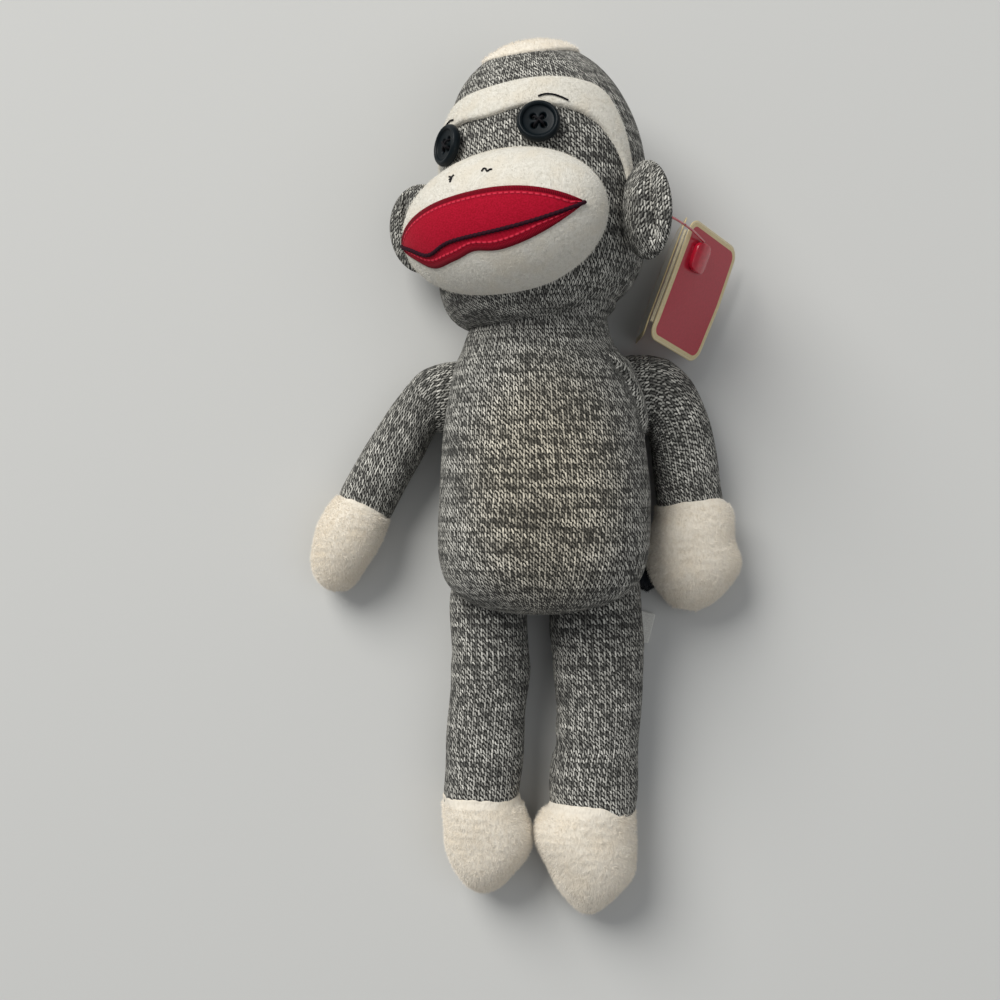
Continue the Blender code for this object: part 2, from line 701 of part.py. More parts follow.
def build_eyes():
    for side, name in ((1, "left"), (-1, "right")):
        seat, normal = face_point(side * EYE_X, EYE_Y, BUTTON_STANDOFF)
        turn = Vector((0, 0, 1)).rotation_difference(normal).to_matrix().to_4x4()
        place = Matrix.Translation(seat) @ turn
        button = turned(button_profile())
        button.transform(place)
        eye = head_part(name + "_eye_button", button, BLACK_BUTTON)
        for i, (x, y) in enumerate(hole_places()):
            hole = tube([(x, y, -OVERRUN / 4), (x, y, OVERRUN / 4)], BUTTON_HOLE_RADIUS)
            hole.transform(place)
            apply_boolean(eye, head_cutter(f"{name}_button_hole_{i}", hole))
        top = BUTTON_THICKNESS - BUTTON_DISH + GAP + EYE_THREAD_RADIUS
        foot = GAP + EYE_THREAD_RADIUS - BUTTON_STANDOFF
        corners = hole_places()
        strands = []
        for k in range(2):
            first, second = corners[k], corners[k + 2]
            high = top + EYE_THREAD_RADIUS * k
            strand = tube([(*first, foot), (*first, high), (*second, high), (*second, foot)], EYE_THREAD_RADIUS)
            strand.transform(place)
            strands.append(strand)
        thread = head_part(name + "_eye_thread", strands[0], BLACK_THREAD)
        apply_boolean(thread, head_cutter(name + "_second_strand", strands[1]), "UNION")


# Neck: a short soft sleeve between torso and head, drawn in by its gathering thread
def build_neck():
    low = NECK_BASE_Y + GAP
    high = HEAD_BASE_Y - GAP
    middle = (low + high) / 2
    top_width = TORSO_HALF_WIDTH * TORSO_PROFILE_SHARES[0][1] - GAP
    depth_share = TORSO_HALF_DEPTH / TORSO_HALF_WIDTH
    waist_x = (NECK_X - SHOULDER_LEAN) / 2
    waist_z = (TORSO_Z + HEAD_Z) / 2
    waist_depth = NECK_HALF_WIDTH * depth_share
    rings = [
        (-SHOULDER_LEAN, low, TORSO_Z, top_width, top_width * depth_share),
        (waist_x, middle, waist_z, NECK_HALF_WIDTH, waist_depth),
        (NECK_X, high, HEAD_Z, NECK_HALF_WIDTH + KNIT_WALL, NECK_HALF_WIDTH),
    ]
    bm = bmesh.new()
    loops = []
    for x, y, z, half_width, half_depth in rings:
        loop = []
        for k in range(TURN_STEPS):
            angle = 2 * math.pi * k / TURN_STEPS
            loop.append(bm.verts.new((x + half_width * math.cos(angle), y, z + half_depth * math.sin(angle))))
        loops.append(loop)
    for lower, upper in zip(loops, loops[1:]):
        for k in range(TURN_STEPS):
            after = (k + 1) % TURN_STEPS
            bm.faces.new((lower[k], lower[after], upper[after], upper[k]))
    bm.faces.new(loops[0])
    bm.faces.new(loops[-1])
    add_part("neck_sleeve", mesh_from(bm), KNIT, NECK_PIVOT)

    rise = NECK_THREAD_RADIUS * 2 + GAP
    path = []
    for k in range(TURN_STEPS):
        angle = 2 * math.pi * k / TURN_STEPS
        x = waist_x + (NECK_HALF_WIDTH + rise) * math.cos(angle)
        z = waist_z + (waist_depth + rise) * math.sin(angle)
        path.append((x, middle, z))
    add_part("neck_thread", tube(path, NECK_THREAD_RADIUS, 1, True), BLACK_THREAD, NECK_PIVOT)


# Ears: flat pads hinged where they are sewn to the head
def ear_root(side):
    y = LEFT_EAR_Y if side > 0 else RIGHT_EAR_Y
    return Vector((side * (egg_radius(y) + GAP), y, 0)) + lean(y)


def ear_hinge(side):
    return HEAD_FRAME @ ear_root(side)


def ear_frame(side):
    forward = math.radians(EAR_FORWARD_DEG)
    out = Vector((side * math.cos(forward), 0, math.sin(forward)))
    along = Vector((0, 1, 0))
    across = out.cross(along)
    turn = Matrix((out, along, across)).transposed().to_4x4()
    return HEAD_FRAME @ Matrix.Translation(ear_root(side)) @ turn


def build_ears():
    for side, name in ((1, "left"), (-1, "right")):
        pad = sphere((EAR_REACH / 2, EAR_HALF_LENGTH, EAR_HALF_THICKNESS), (EAR_REACH / 2, 0, 0))
        pad.transform(ear_frame(side))
        ear = add_part(name + "_ear", pad, KNIT, ear_hinge(side))
        apply_boolean(ear, HEAD_CLEARANCE)
        if side > 0:
            hole = tube([TACK_HOLE - TACK_AXIS * OVERRUN / 4, TACK_HOLE + TACK_AXIS * OVERRUN / 4], TAG_HOLE_RADIUS)
            apply_boolean(ear, add_cutter("ear_tack_hole", hole))


# Arms and hands. The form runs from inside the torso to past the cuff.
def arm_stations(side):
    if side > 0:
        out, down, root_y = LEFT_ARM_OUT, LEFT_ARM_DOWN, LEFT_ARM_ROOT_Y
        half_width, shares = LEFT_ARM_HALF_WIDTH, LEFT_ARM_SHARES
    else:
        out, down, root_y = RIGHT_ARM_OUT, RIGHT_ARM_DOWN, RIGHT_ARM_ROOT_Y
        half_width, shares = RIGHT_ARM_HALF_WIDTH, RIGHT_ARM_SHARES
    stations = []
    for across, along, width in shares:
        x = side * (ARM_ROOT_X + across * out)
        stations.append((x, root_y - along * down, width * half_width, width * half_width))
    return stations


# Where a cuff's rim lies on the ball that the hand or foot turns on
def ball_offset(rim_radius, ball_radius):
    return math.sqrt((ball_radius + BALL_GAP) ** 2 - rim_radius ** 2)


def limb_root(name, form, split, heading, pivot):
    root = add_part(name, form, KNIT, pivot)
    apply_boolean(root, TORSO_SKIN_CUTTER)
    apply_boolean(root, beyond(name + "_end", split, heading))
    apply_boolean(root, FLOOR)


def build_arm(side, name):
    stations = arm_stations(side)
    cuff, past = stations[-2], stations[-1]
    heading = Vector((past[0] - cuff[0], past[1] - cuff[1], 0)).normalized()
    shoulder = Vector((side * SHOULDER_X, SHOULDER_Y, stations[3][3] - REST_CUT))
    bend, below = stations[3], stations[4]
    fall = Vector((below[0] - bend[0], below[1] - bend[1], 0)).normalized()
    split = Vector((bend[0], bend[1], shoulder.z)) + fall * (SHOULDER_SPLIT / 4)

    form = stuffed(stations)
    limb_root(name + "_shoulder", form.copy(), split, fall, shoulder)
    arm = add_part(name + "_arm", form, KNIT, shoulder)
    apply_boolean(arm, beyond(name + "_arm_start", split + fall * GAP, -fall))
    cuff_point = Vector((cuff[0], cuff[1], WRIST_BALL_RADIUS - REST_CUT))
    apply_boolean(arm, beyond(name + "_cuff", cuff_point, heading))
    wrist = cuff_point + heading * ball_offset(WRIST_HALF_WIDTH, WRIST_BALL_RADIUS)
    apply_boolean(arm, add_cutter(name + "_wrist_cup", ball(WRIST_BALL_RADIUS + BALL_GAP, wrist)))
    apply_boolean(arm, FLOOR)

    if side > 0:
        length, half_width, shares = LEFT_HAND_LENGTH, LEFT_HAND_HALF_WIDTH, LEFT_HAND_SHARES
    else:
        length, half_width, shares = RIGHT_HAND_LENGTH, RIGHT_HAND_HALF_WIDTH, RIGHT_HAND_SHARES
    mitt(name + "_hand", wrist, heading, length, half_width, shares, WRIST_BALL_RADIUS)


# A plush mitt on a ball: its stations are (across, along, width, depth) shares
def mitt(name, pivot, heading, length, half_width, shares, ball_radius):
    across = heading.cross(Vector((0, 0, 1)))
    stations = []
    for side_share, along_share, width_share, depth_share in shares:
        place = pivot + heading * (along_share * length) + across * (side_share * length)
        stations.append((place.x, place.y, width_share * half_width, depth_share * half_width))
    piece = add_part(name, stuffed(stations), PLUSH_CREAM, pivot)
    apply_boolean(piece, add_cutter(name + "_ball", ball(ball_radius, pivot)), "UNION")
    apply_boolean(piece, FLOOR)


def build_leg(side, name):
    if side > 0:
        x, length, drift, half_width = LEFT_LEG_X, LEFT_LEG_LENGTH, LEFT_LEG_DRIFT, LEFT_LEG_HALF_WIDTH
        foot_length, foot_shares = LEFT_FOOT_LENGTH, LEFT_FOOT_SHARES
    else:
        x, length, drift, half_width = RIGHT_LEG_X, RIGHT_LEG_LENGTH, RIGHT_LEG_DRIFT, RIGHT_LEG_HALF_WIDTH
        foot_length, foot_shares = RIGHT_FOOT_LENGTH, RIGHT_FOOT_SHARES
    stations = []
    for along, width in LEG_SHARES:
        stations.append((x - drift * along, LEG_ROOT_Y - length * along, width * half_width, width * half_width))
    heading = Vector((-drift, -length, 0)).normalized()
    hip = Vector((x - drift * (LEG_ROOT_Y - HIP_Y) / length, HIP_Y, half_width - REST_CUT))
    split = hip + heading * HIP_SPLIT

    form = stuffed(stations)
    limb_root(name + "_hip", form.copy(), split, heading, hip)
    leg = add_part(name + "_leg", form, KNIT, hip)
    apply_boolean(leg, beyond(name + "_leg_start", split + heading * GAP, -heading))
    rim = half_width * LEG_SHARES[-1][1]
    ball_radius = half_width + ANKLE_BALL_MARGIN
    cuff_point = Vector((x - drift, LEG_ROOT_Y - length, ball_radius - REST_CUT))
    apply_boolean(leg, beyond(name + "_cuff", cuff_point, heading))
    ankle = cuff_point + heading * ball_offset(rim, ball_radius)
    apply_boolean(leg, add_cutter(name + "_ankle_cup", ball(ball_radius + BALL_GAP, ankle)))
    apply_boolean(leg, FLOOR)
    mitt(name + "_foot", ankle, heading, foot_length, half_width, foot_shares, ball_radius)


# Tail: a short knit tube beside the seat with a black tip
def build_tail():
    stations = []
    for across, along, width in TAIL_SHARES:
        x = TORSO_HALF_WIDTH - TAIL_INSET + across * TAIL_OUT
        stations.append((x, TAIL_ROOT_Y - along * TAIL_DOWN, width * TAIL_RADIUS, width * TAIL_RADIUS))
    root, end, before = stations[0], stations[-1], stations[-2]
    pivot = Vector((root[0], root[1], TAIL_RADIUS - REST_CUT))
    heading = Vector((end[0] - before[0], end[1] - before[1], 0)).normalized()
    split = Vector((end[0], end[1], pivot.z)) - heading * TAIL_TIP_LENGTH
    form = stuffed(stations)
    tail = add_part("tail", form.copy(), KNIT, pivot)
    apply_boolean(tail, beyond("tail_end", split, heading))
    tip = add_part("tail_tip", form, BLACK_PLUSH, pivot)
    apply_boolean(tip, beyond("tail_tip_start", split + heading * GAP, -heading))
    for piece in (tail, tip):
        apply_boolean(piece, TORSO_SKIN_CUTTER)
        apply_boolean(piece, FLOOR)


def build_label():
    label = card(LABEL_WIDTH, LABEL_LENGTH, LABEL_THICKNESS, LABEL_THICKNESS)
    place = Matrix.Translation((LABEL_X, LABEL_Y, REST_CUT + LABEL_THICKNESS / 2))
    turn = Matrix.Rotation(math.radians(LABEL_TURN_DEG), 4, "Z")
    label.transform(place @ turn @ Matrix.Translation((LABEL_LENGTH / 2, 0, 0)))
    add_part("sewn_label", label, LABEL_CLOTH, (LABEL_X, LABEL_Y, REST_CUT))


# Swing tag frame: X runs out of the spine across a leaf, Y along the spine to its top
TAG_SPINE_Z = TAG_WIDTH + GAP
TAG_TURN = Matrix.Rotation(math.radians(TAG_SPINE_TURN_DEG), 4, "Z")
TAG_FRAME = Matrix.Translation((TAG_SPINE_X, TAG_SPINE_Y, TAG_SPINE_Z)) @ TAG_TURN
FRONT_LEAF_DROP_DEG = 90 - TAG_OPEN_DEG
SPINE_TOP = TAG_FRAME @ Vector((0, 0, 0))
TACK_HOLE = ear_frame(1) @ Vector((EAR_TACK_OUT, EAR_TACK_ALONG, 0))
TACK_AXIS = -(ear_frame(1).to_3x3() @ Vector((0, 0, 1))).normalized()


def leaf_frame(drop_deg):
    return TAG_FRAME @ Matrix.Rotation(math.radians(drop_deg), 4, "Y")


def leaf(name, drop_deg, lift, look):
    frame = leaf_frame(drop_deg)
    sheet = card(TAG_LENGTH, TAG_WIDTH - TAG_THICKNESS * 2, TAG_THICKNESS, TAG_CORNER)
    centre = Matrix.Translation((TAG_WIDTH / 2 + TAG_THICKNESS, -TAG_LENGTH / 2, lift))
    sheet.transform(frame @ centre)
    add_part(name, sheet, look, SPINE_TOP)


def build_tag():
    apart = (TAG_THICKNESS + GAP) / 2
    leaf("tag_back", 90, -apart, WHITE_CARD)
    leaf("tag_front", FRONT_LEAF_DROP_DEG, apart, RED_CARD)

    frame = leaf_frame(FRONT_LEAF_DROP_DEG)
    paddle = card(PADDLE_LENGTH, PADDLE_WIDTH, PADDLE_THICKNESS, PADDLE_CORNER)
    paddle_lift = apart + TAG_THICKNESS / 2 + GAP + PADDLE_THICKNESS / 2
    paddle_x = TAG_HOLE_INSET + PADDLE_WIDTH / 2
    paddle_y = -TAG_HOLE_INSET - PADDLE_LENGTH / 2
    paddle.transform(frame @ Matrix.Translation((paddle_x, paddle_y, paddle_lift)))
    add_part("tack_paddle", paddle, RED_PLASTIC, SPINE_TOP)

    end = frame @ Vector((paddle_x, paddle_y + PADDLE_LENGTH / 2 + GAP + FILAMENT_RADIUS, paddle_lift))
    outside = TACK_HOLE + TACK_AXIS * (EAR_HALF_THICKNESS + GAP)
    inside = TACK_HOLE - TACK_AXIS * (EAR_HALF_THICKNESS + GAP)
    add_part("tack_filament", tube([inside, outside, end], FILAMENT_RADIUS), RED_PLASTIC, TACK_HOLE)

    along = (HEAD_FRAME.to_3x3() @ Vector((0, 1, 0))).normalized()
    bar_centre = inside - TACK_AXIS * (FILAMENT_RADIUS * 2 + GAP)
    half = along * TACK_BAR_LENGTH / 2
    bar = tube([bar_centre - half, bar_centre + half], FILAMENT_RADIUS)
    add_part("tack_bar", bar, RED_PLASTIC, ear_hinge(1))


def main():
    build_torso()
    build_neck()
    build_head()
    build_band_and_patch()
    build_mouth()
    build_stitches()
    build_eyes()
    build_ears()
    for side, name in ((1, "left"), (-1, "right")):
        build_arm(side, name)
        build_leg(side, name)
    build_tail()
    build_label()
    build_tag()


main()
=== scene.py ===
# %% [markdown]
# # A stuffed knit monkey, dressed over its solids
# The real doll is a skin of marled sock knit over loose filling, with plush hands, feet and
# muzzle, felt lips, button eyes and a card tag on a plastic tack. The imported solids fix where
# each piece is and how it moves. This file puts the finished surfaces over them.

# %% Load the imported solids
import math

import bpy
import numpy as np
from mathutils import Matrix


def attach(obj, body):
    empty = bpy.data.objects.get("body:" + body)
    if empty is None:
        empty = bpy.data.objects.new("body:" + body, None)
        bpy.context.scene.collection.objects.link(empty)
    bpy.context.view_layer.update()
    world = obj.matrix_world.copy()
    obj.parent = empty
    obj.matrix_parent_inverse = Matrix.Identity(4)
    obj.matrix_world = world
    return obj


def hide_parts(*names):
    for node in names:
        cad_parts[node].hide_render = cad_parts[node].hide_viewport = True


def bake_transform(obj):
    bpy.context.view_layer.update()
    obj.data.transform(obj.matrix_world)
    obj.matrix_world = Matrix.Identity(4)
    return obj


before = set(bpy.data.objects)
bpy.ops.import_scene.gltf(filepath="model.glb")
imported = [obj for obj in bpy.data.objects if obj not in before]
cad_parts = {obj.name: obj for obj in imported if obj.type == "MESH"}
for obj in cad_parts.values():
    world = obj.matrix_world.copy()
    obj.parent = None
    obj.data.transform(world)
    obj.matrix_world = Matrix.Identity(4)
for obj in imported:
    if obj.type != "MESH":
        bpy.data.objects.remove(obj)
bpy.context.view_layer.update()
MM = 0.001

# %% [markdown]
# ## Camera, floor and light
# The photograph looks straight down from about 45 cm, which a 54 mm lens on a 36 mm sensor
# matches. The doll lies on a pale surface with daylight from the upper left, so one broad lamp
# stands there and a pale world fills the shadows.

# %% Camera, floor and lamps
camera_data = bpy.data.cameras.new("overhead")
camera_data.lens = 54.0
camera_data.sensor_width = 36.0
camera_data.clip_start = 0.01
camera = bpy.data.objects.new("overhead", camera_data)
camera.location = (-0.0122, -0.0057, 0.450)
bpy.context.scene.collection.objects.link(camera)
bpy.context.scene.camera = camera
bpy.context.scene.view_settings.view_transform = "Standard"
print("the camera looks down from", round(camera.location.z, 3), "m")


def lamp(name, place, aim, size, power, colour):
    """A round area lamp at place, turned to face aim."""
    data = bpy.data.lights.new(name, "AREA")
    data.shape = "DISK"
    data.size = size
    data.energy = power
    data.color = colour
    made = bpy.data.objects.new(name, data)
    direction = np.subtract(aim, place)
    made.location = place
    made.rotation_euler = (
        math.atan2(math.hypot(direction[0], direction[1]), -direction[2]),
        0,
        math.atan2(direction[1], direction[0]) - math.pi / 2,
    )
    bpy.context.scene.collection.objects.link(made)


lamp("window", (-1.15, 1.45, 1.55), (0, 0, 0.02), 1.60, 60.0, (1.0, 0.99, 0.96))
lamp("room", (0.45, -0.10, 1.00), (0, 0, 0.02), 0.90, 1.6, (0.94, 0.97, 1.0))


# %% [markdown]
# ## Shader maths as Python
# A pattern such as knit is arithmetic on coordinates. Wiring each sum by hand hides the formula,
# so a small class wraps a node's output and lets Python's own operators add the Math nodes.

# %% A wire between nodes, and a finish that adds them
class Wire:
    """A value that runs from one node to others. Arithmetic on it adds Math nodes."""

    def __init__(self, finish, socket):
        self.finish = finish
        self.socket = socket

    def math(self, operation, *others):
        return self.finish.maths(operation, self, *others)

    def __add__(self, other):
        return self.math("ADD", other)

    def __sub__(self, other):
        return self.math("SUBTRACT", other)

    def __mul__(self, other):
        return self.math("MULTIPLY", other)

    def __truediv__(self, other):
        return self.math("DIVIDE", other)

    def __pow__(self, other):
        return self.math("POWER", other)

    def __rsub__(self, other):
        return self.finish.maths("SUBTRACT", other, self)

    __radd__ = __add__
    __rmul__ = __mul__


class Finish:
    """A material and its nodes: add() makes a node from its type, settings and inputs."""

    def __init__(self, name):
        self.material = bpy.data.materials.new(name)
        self.material.use_nodes = True
        self.tree = self.material.node_tree
        self.shader = self.tree.nodes["Principled BSDF"]

    def feed(self, socket, value):
        if isinstance(value, Wire):
            self.tree.links.new(value.socket, socket)
        elif socket.type == "RGBA":
            socket.default_value = (*value[:3], 1.0)
        else:
            socket.default_value = value

    def add(self, kind, settings=None, inputs=None, output=0):
        node = self.tree.nodes.new(kind)
        for name, value in (settings or {}).items():
            setattr(node, name, value)
        for name, value in (inputs or {}).items():
            self.feed(node.inputs[name], value)
        return Wire(self, node.outputs[output])

    def maths(self, operation, *values):
        return self.add("ShaderNodeMath", {"operation": operation}, dict(enumerate(values)))

    def mix(self, share, first, second, blend="MIX"):
        settings = {"data_type": "RGBA", "blend_type": blend}
        return self.add("ShaderNodeMix", settings, {0: share, 6: first, 7: second}, 2)

    def step(self, value, low, high):
        """0 below low, 1 above high, and a smooth ramp between."""
        settings = {"interpolation_type": "SMOOTHSTEP"}
        return self.add("ShaderNodeMapRange", settings, {0: value, 1: low, 2: high})

    def split(self, vector):
        first = self.add("ShaderNodeSeparateXYZ", None, {0: vector})
        return [Wire(self, socket) for socket in first.socket.node.outputs]

    def join(self, x, y, z=0.0):
        return self.add("ShaderNodeCombineXYZ", None, {0: x, 1: y, 2: z})

    def pattern(self):
        """The piece's own flat coordinates, from its UV map."""
        return self.add("ShaderNodeUVMap", {"uv_map": "pattern"})

    def place(self, scale=(1, 1, 1)):
        """Object coordinates, stretched."""
        spot = self.add("ShaderNodeTexCoord", None, None, 3)
        return self.add("ShaderNodeMapping", None, {"Vector": spot, "Scale": scale})

    def noise(self, where, scale, detail=2.0):
        inputs = {"Vector": where, "Scale": scale, "Detail": detail}
        return self.add("ShaderNodeTexNoise", None, inputs)

    def set(self, **values):
        for name, value in values.items():
            self.feed(self.shader.inputs[name.replace("_", " ")], value)

    def bump(self, height, distance, strength=1.0):
        inputs = {"Height": height, "Distance": distance, "Strength": strength}
        self.set(Normal=self.add("ShaderNodeBump", None, inputs))


# %% [markdown]
# ## The marled knit
# Sock knit is columns of V-shaped stitches, called wales. The yarn is a dark and an off-white
# strand twisted together, so each leg of a V shows a short pale streak, and the share of pale
# drifts from row to row in faint bands. One unit of the pattern map is one stitch. Modelling each
# loop would cost millions of faces, so the V's are colour and relief.

# %% The knit finish
STITCH_WIDE = 1.62 * MM
STITCH_TALL = 1.32 * MM
PALE_YARN = (0.82, 0.80, 0.73)
DARK_YARN = (0.010, 0.010, 0.009)
GREY_YARN = (0.085, 0.084, 0.078)
PAINTED_GAP_SHADE = (0.012, 0.012, 0.011)
WARM_LIGHT_TINT = (1.0, 0.92, 0.78)


def knit_finish(name, painted_warm_light=0):
    """across and along count stitches and courses. Each stitch has two legs, and each leg shows
    one slanted pale stroke, whose place, length and paleness are drawn at random: the stroke is
    where the distance from its slanted line is under a width and the distance along it under a
    length. painted_warm_light is how much of the warm tint the chest's middle gets."""
    finish = Finish(name)
    across, along, _ = finish.split(finish.pattern())
    leg = (across * 2).math("FLOOR")
    side = (across * 2).math("FRACT") - 0.5
    odd = (leg * 0.5).math("FRACT") * 2
    wander = finish.noise(finish.join(across * 0.9, along * 0.9), 1.0, 2.0) - 0.5
    row = along + wander * 1.1 + odd * 0.3
    course = row.math("FLOOR")
    rise = row.math("FRACT") - 0.5
    dice = {0: finish.join(leg, course)}
    chance = finish.add("ShaderNodeTexWhiteNoise", {"noise_dimensions": "2D"}, dice, 1)
    first, second, third = finish.split(chance)
    lean = 0.56 - odd * 0.34 + (second - 0.5) * 0.34 + wander * 0.5
    aside = side * 0.81 + rise * 1.32 * lean
    away = (aside + (first - 0.5) * 0.22).math("ABSOLUTE")
    end = (rise + (second - 0.5) * 0.26).math("ABSOLUTE")
    wisps = finish.noise(finish.join(across * 7.0, along * 2.2), 1.0, 3.0)
    stroke = finish.step(0.26 + third * 0.07 - away + (wisps - 0.5) * 0.20, 0.0, 0.17)
    stroke = stroke * finish.step(0.58 - end, 0.0, 0.18)
    bands = finish.noise(finish.join(across * 0.07, along * 0.75), 1.0, 3.0)
    broad = finish.noise(finish.join(across * 0.035, along * 0.09, 4.0), 1.0, 2.0)
    tone = third * 0.66 + (bands - 0.5) * 1.7 + (broad - 0.5) * 0.3 + 0.10
    tone = tone.math("MAXIMUM", 0.07).math("MINIMUM", 1.0)
    round_leg = 1 - (aside * 2.3).math("ABSOLUTE") ** 2.0
    ridge = round_leg * (1 - (rise * 2).math("ABSOLUTE") ** 4.0 * 0.5)
    ridge = ridge.math("MAXIMUM", 0.0)
    colour = finish.mix(stroke * tone, finish.mix(wisps, DARK_YARN, GREY_YARN), PALE_YARN)
    # Painted shade: where the ridge falls away between and at the ends of the stitch legs, the
    # colour goes to near black, standing in for the shade in the gaps.
    colour = finish.mix(finish.step(ridge, -0.15, 0.35), PAINTED_GAP_SHADE, colour)
    # Painted warm light: a soft warm patch multiplied into the middle of the chest stands in for
    # the warm light falling there.
    if painted_warm_light:
        x, y, _ = finish.split(finish.place())
        far = (x / 0.021).math("ABSOLUTE") ** 2.0 + ((y + 0.002) / 0.034).math("ABSOLUTE") ** 2.0
        spot = finish.step(1.6 - far, 0.0, 1.6) * painted_warm_light
        colour = finish.mix(spot, colour, WARM_LIGHT_TINT, "MULTIPLY")
    finish.set(Base_Color=colour, Roughness=0.92, Sheen_Weight=0.03, Specular_IOR_Level=0.12)
    finish.bump(ridge + wisps * 0.3, 0.32 * MM, 0.8)
    return finish.material


KNIT = knit_finish("marled_knit")
CHEST_KNIT = knit_finish("marled_knit_chest", 0.75)
print("a stitch is", round(STITCH_WIDE / MM, 2), "by", round(STITCH_TALL / MM, 2), "mm")

# %% [markdown]
# ## Plush, felt, thread and card
# Plush is a short cut pile: soft mottling where the tufts part, and a rim that catches light.
# The same recipe with a longer grain gives the shaggier hands and feet. Threads, card and
# plastic are one colour with a fine grain.

# %% The plush and plain finishes
def tinted(colour, *shares):
    return tuple(part * share for part, share in zip(colour, shares))


def plush_finish(name, colour, shade, stretch, scale, relief):
    """Tufts are noise of the given scale stretched along y, fluff is coarser, and patches are
    broad areas of a warmer tint. relief is the height of the bumps."""
    finish = Finish(name)
    pile = finish.noise(finish.place((1, stretch, 1)), scale, 3.0)
    fluff = finish.noise(finish.place(), scale * 0.35, 4.0)
    patches = finish.noise(finish.place(), scale * 0.06, 2.0)
    mottled = finish.mix(finish.step(pile * 0.5 + fluff * 0.5, 0.32, 0.60), shade, colour)
    tint = tinted(colour, 0.93, 0.89, 0.83)
    mottled = finish.mix(finish.step(patches, 0.42, 0.72) * 0.7, mottled, tint)
    finish.set(Base_Color=mottled, Roughness=0.95, Sheen_Weight=0.25, Sheen_Roughness=0.5,
               Specular_IOR_Level=0.12)
    finish.bump(pile * 0.6 + fluff * 0.7, relief, 0.7)
    return finish.material


WHITE_PLUSH = plush_finish(
    "white_plush", (0.715, 0.685, 0.615), (0.57, 0.54, 0.47), 0.45, 2600.0, 0.55 * MM)
CREAM_PLUSH = plush_finish(
    "cream_plush", (0.80, 0.74, 0.64), (0.70, 0.635, 0.535), 0.40, 2000.0, 0.55 * MM)
BLACK_PLUSH = plush_finish(
    "black_plush", (0.020, 0.022, 0.028), (0.006, 0.007, 0.010), 0.5, 1600.0, 0.7 * MM)


def plain_finish(name, colour, roughness, bump, scale, **more):
    """One colour, a fifth darker in the hollows of a noise of the given scale. bump is in mm."""
    finish = Finish(name)
    grain = finish.noise(finish.place(), scale, 3.0)
    dim = tinted(colour, 0.82, 0.82, 0.82)
    colour = finish.mix(finish.step(grain, 0.35, 0.65), dim, colour)
    finish.set(Base_Color=colour, Roughness=roughness, **more)
    if bump:
        finish.bump(grain, bump * MM, 0.7)
    return finish.material


DULL = {"Specular_IOR_Level": 0.15}
THREAD = plain_finish("dark_thread", (0.010, 0.009, 0.011), 0.8, 0.1, 3000.0, **DULL)
GATHER_YARN = plain_finish("charcoal_yarn", (0.030, 0.030, 0.028), 0.9, 0.1, 3000.0,
                           Specular_IOR_Level=0.1)
MOUTH_YARN = plain_finish("maroon_yarn", (0.026, 0.003, 0.010), 0.8, 0.1, 3000.0, **DULL)
BUTTON = plain_finish("button_resin", (0.0030, 0.0065, 0.0090), 0.42, 0.01, 900.0, **DULL)
TACK = plain_finish("tack_plastic", (0.58, 0.010, 0.035), 0.18, 0.02, 700.0, Coat_Weight=0.5)
FILLING = plain_finish("fibre_filling", (0.80, 0.80, 0.78), 0.95, 0.4, 500.0)
POUCH = plain_finish("pouch_cloth", (0.66, 0.65, 0.62), 0.9, 0.3, 1800.0)
TAPE = plain_finish("label_tape", (0.84, 0.83, 0.78), 0.75, 0.1, 3500.0)


def fibre_finish(name, colour):
    """Fibres are finer than a pattern would show, so they are one plain colour."""
    finish = Finish(name)
    finish.set(Base_Color=colour, Roughness=0.9, Specular_IOR_Level=0.1)
    return finish.material


# Each plush slot's finish, its stray fibres' finish and their length
PLUSH = {
    "white_plush": (WHITE_PLUSH, fibre_finish("white_fibre", (0.78, 0.75, 0.675)), 0.65 * MM),
    "cream_plush": (CREAM_PLUSH, fibre_finish("cream_fibre", (0.88, 0.82, 0.725)), 1.05 * MM),
    "black_plush": (BLACK_PLUSH, fibre_finish("black_fibre", (0.012, 0.013, 0.017)), 1.1 * MM),
}
print("materials:", len(bpy.data.materials))

# %% [markdown]
# ## Meshes from grids of points
# Every surface here starts as a numpy grid of points.

# %% A mesh from a grid of points
def add_object(name, points, faces, finish):
    """A mesh object at the origin, unturned, in the scene."""
    mesh = bpy.data.meshes.new(name)
    mesh.from_pydata(points, [], faces)
    mesh.materials.append(finish)
    made = bpy.data.objects.new(name, mesh)
    bpy.context.scene.collection.objects.link(made)
    return made


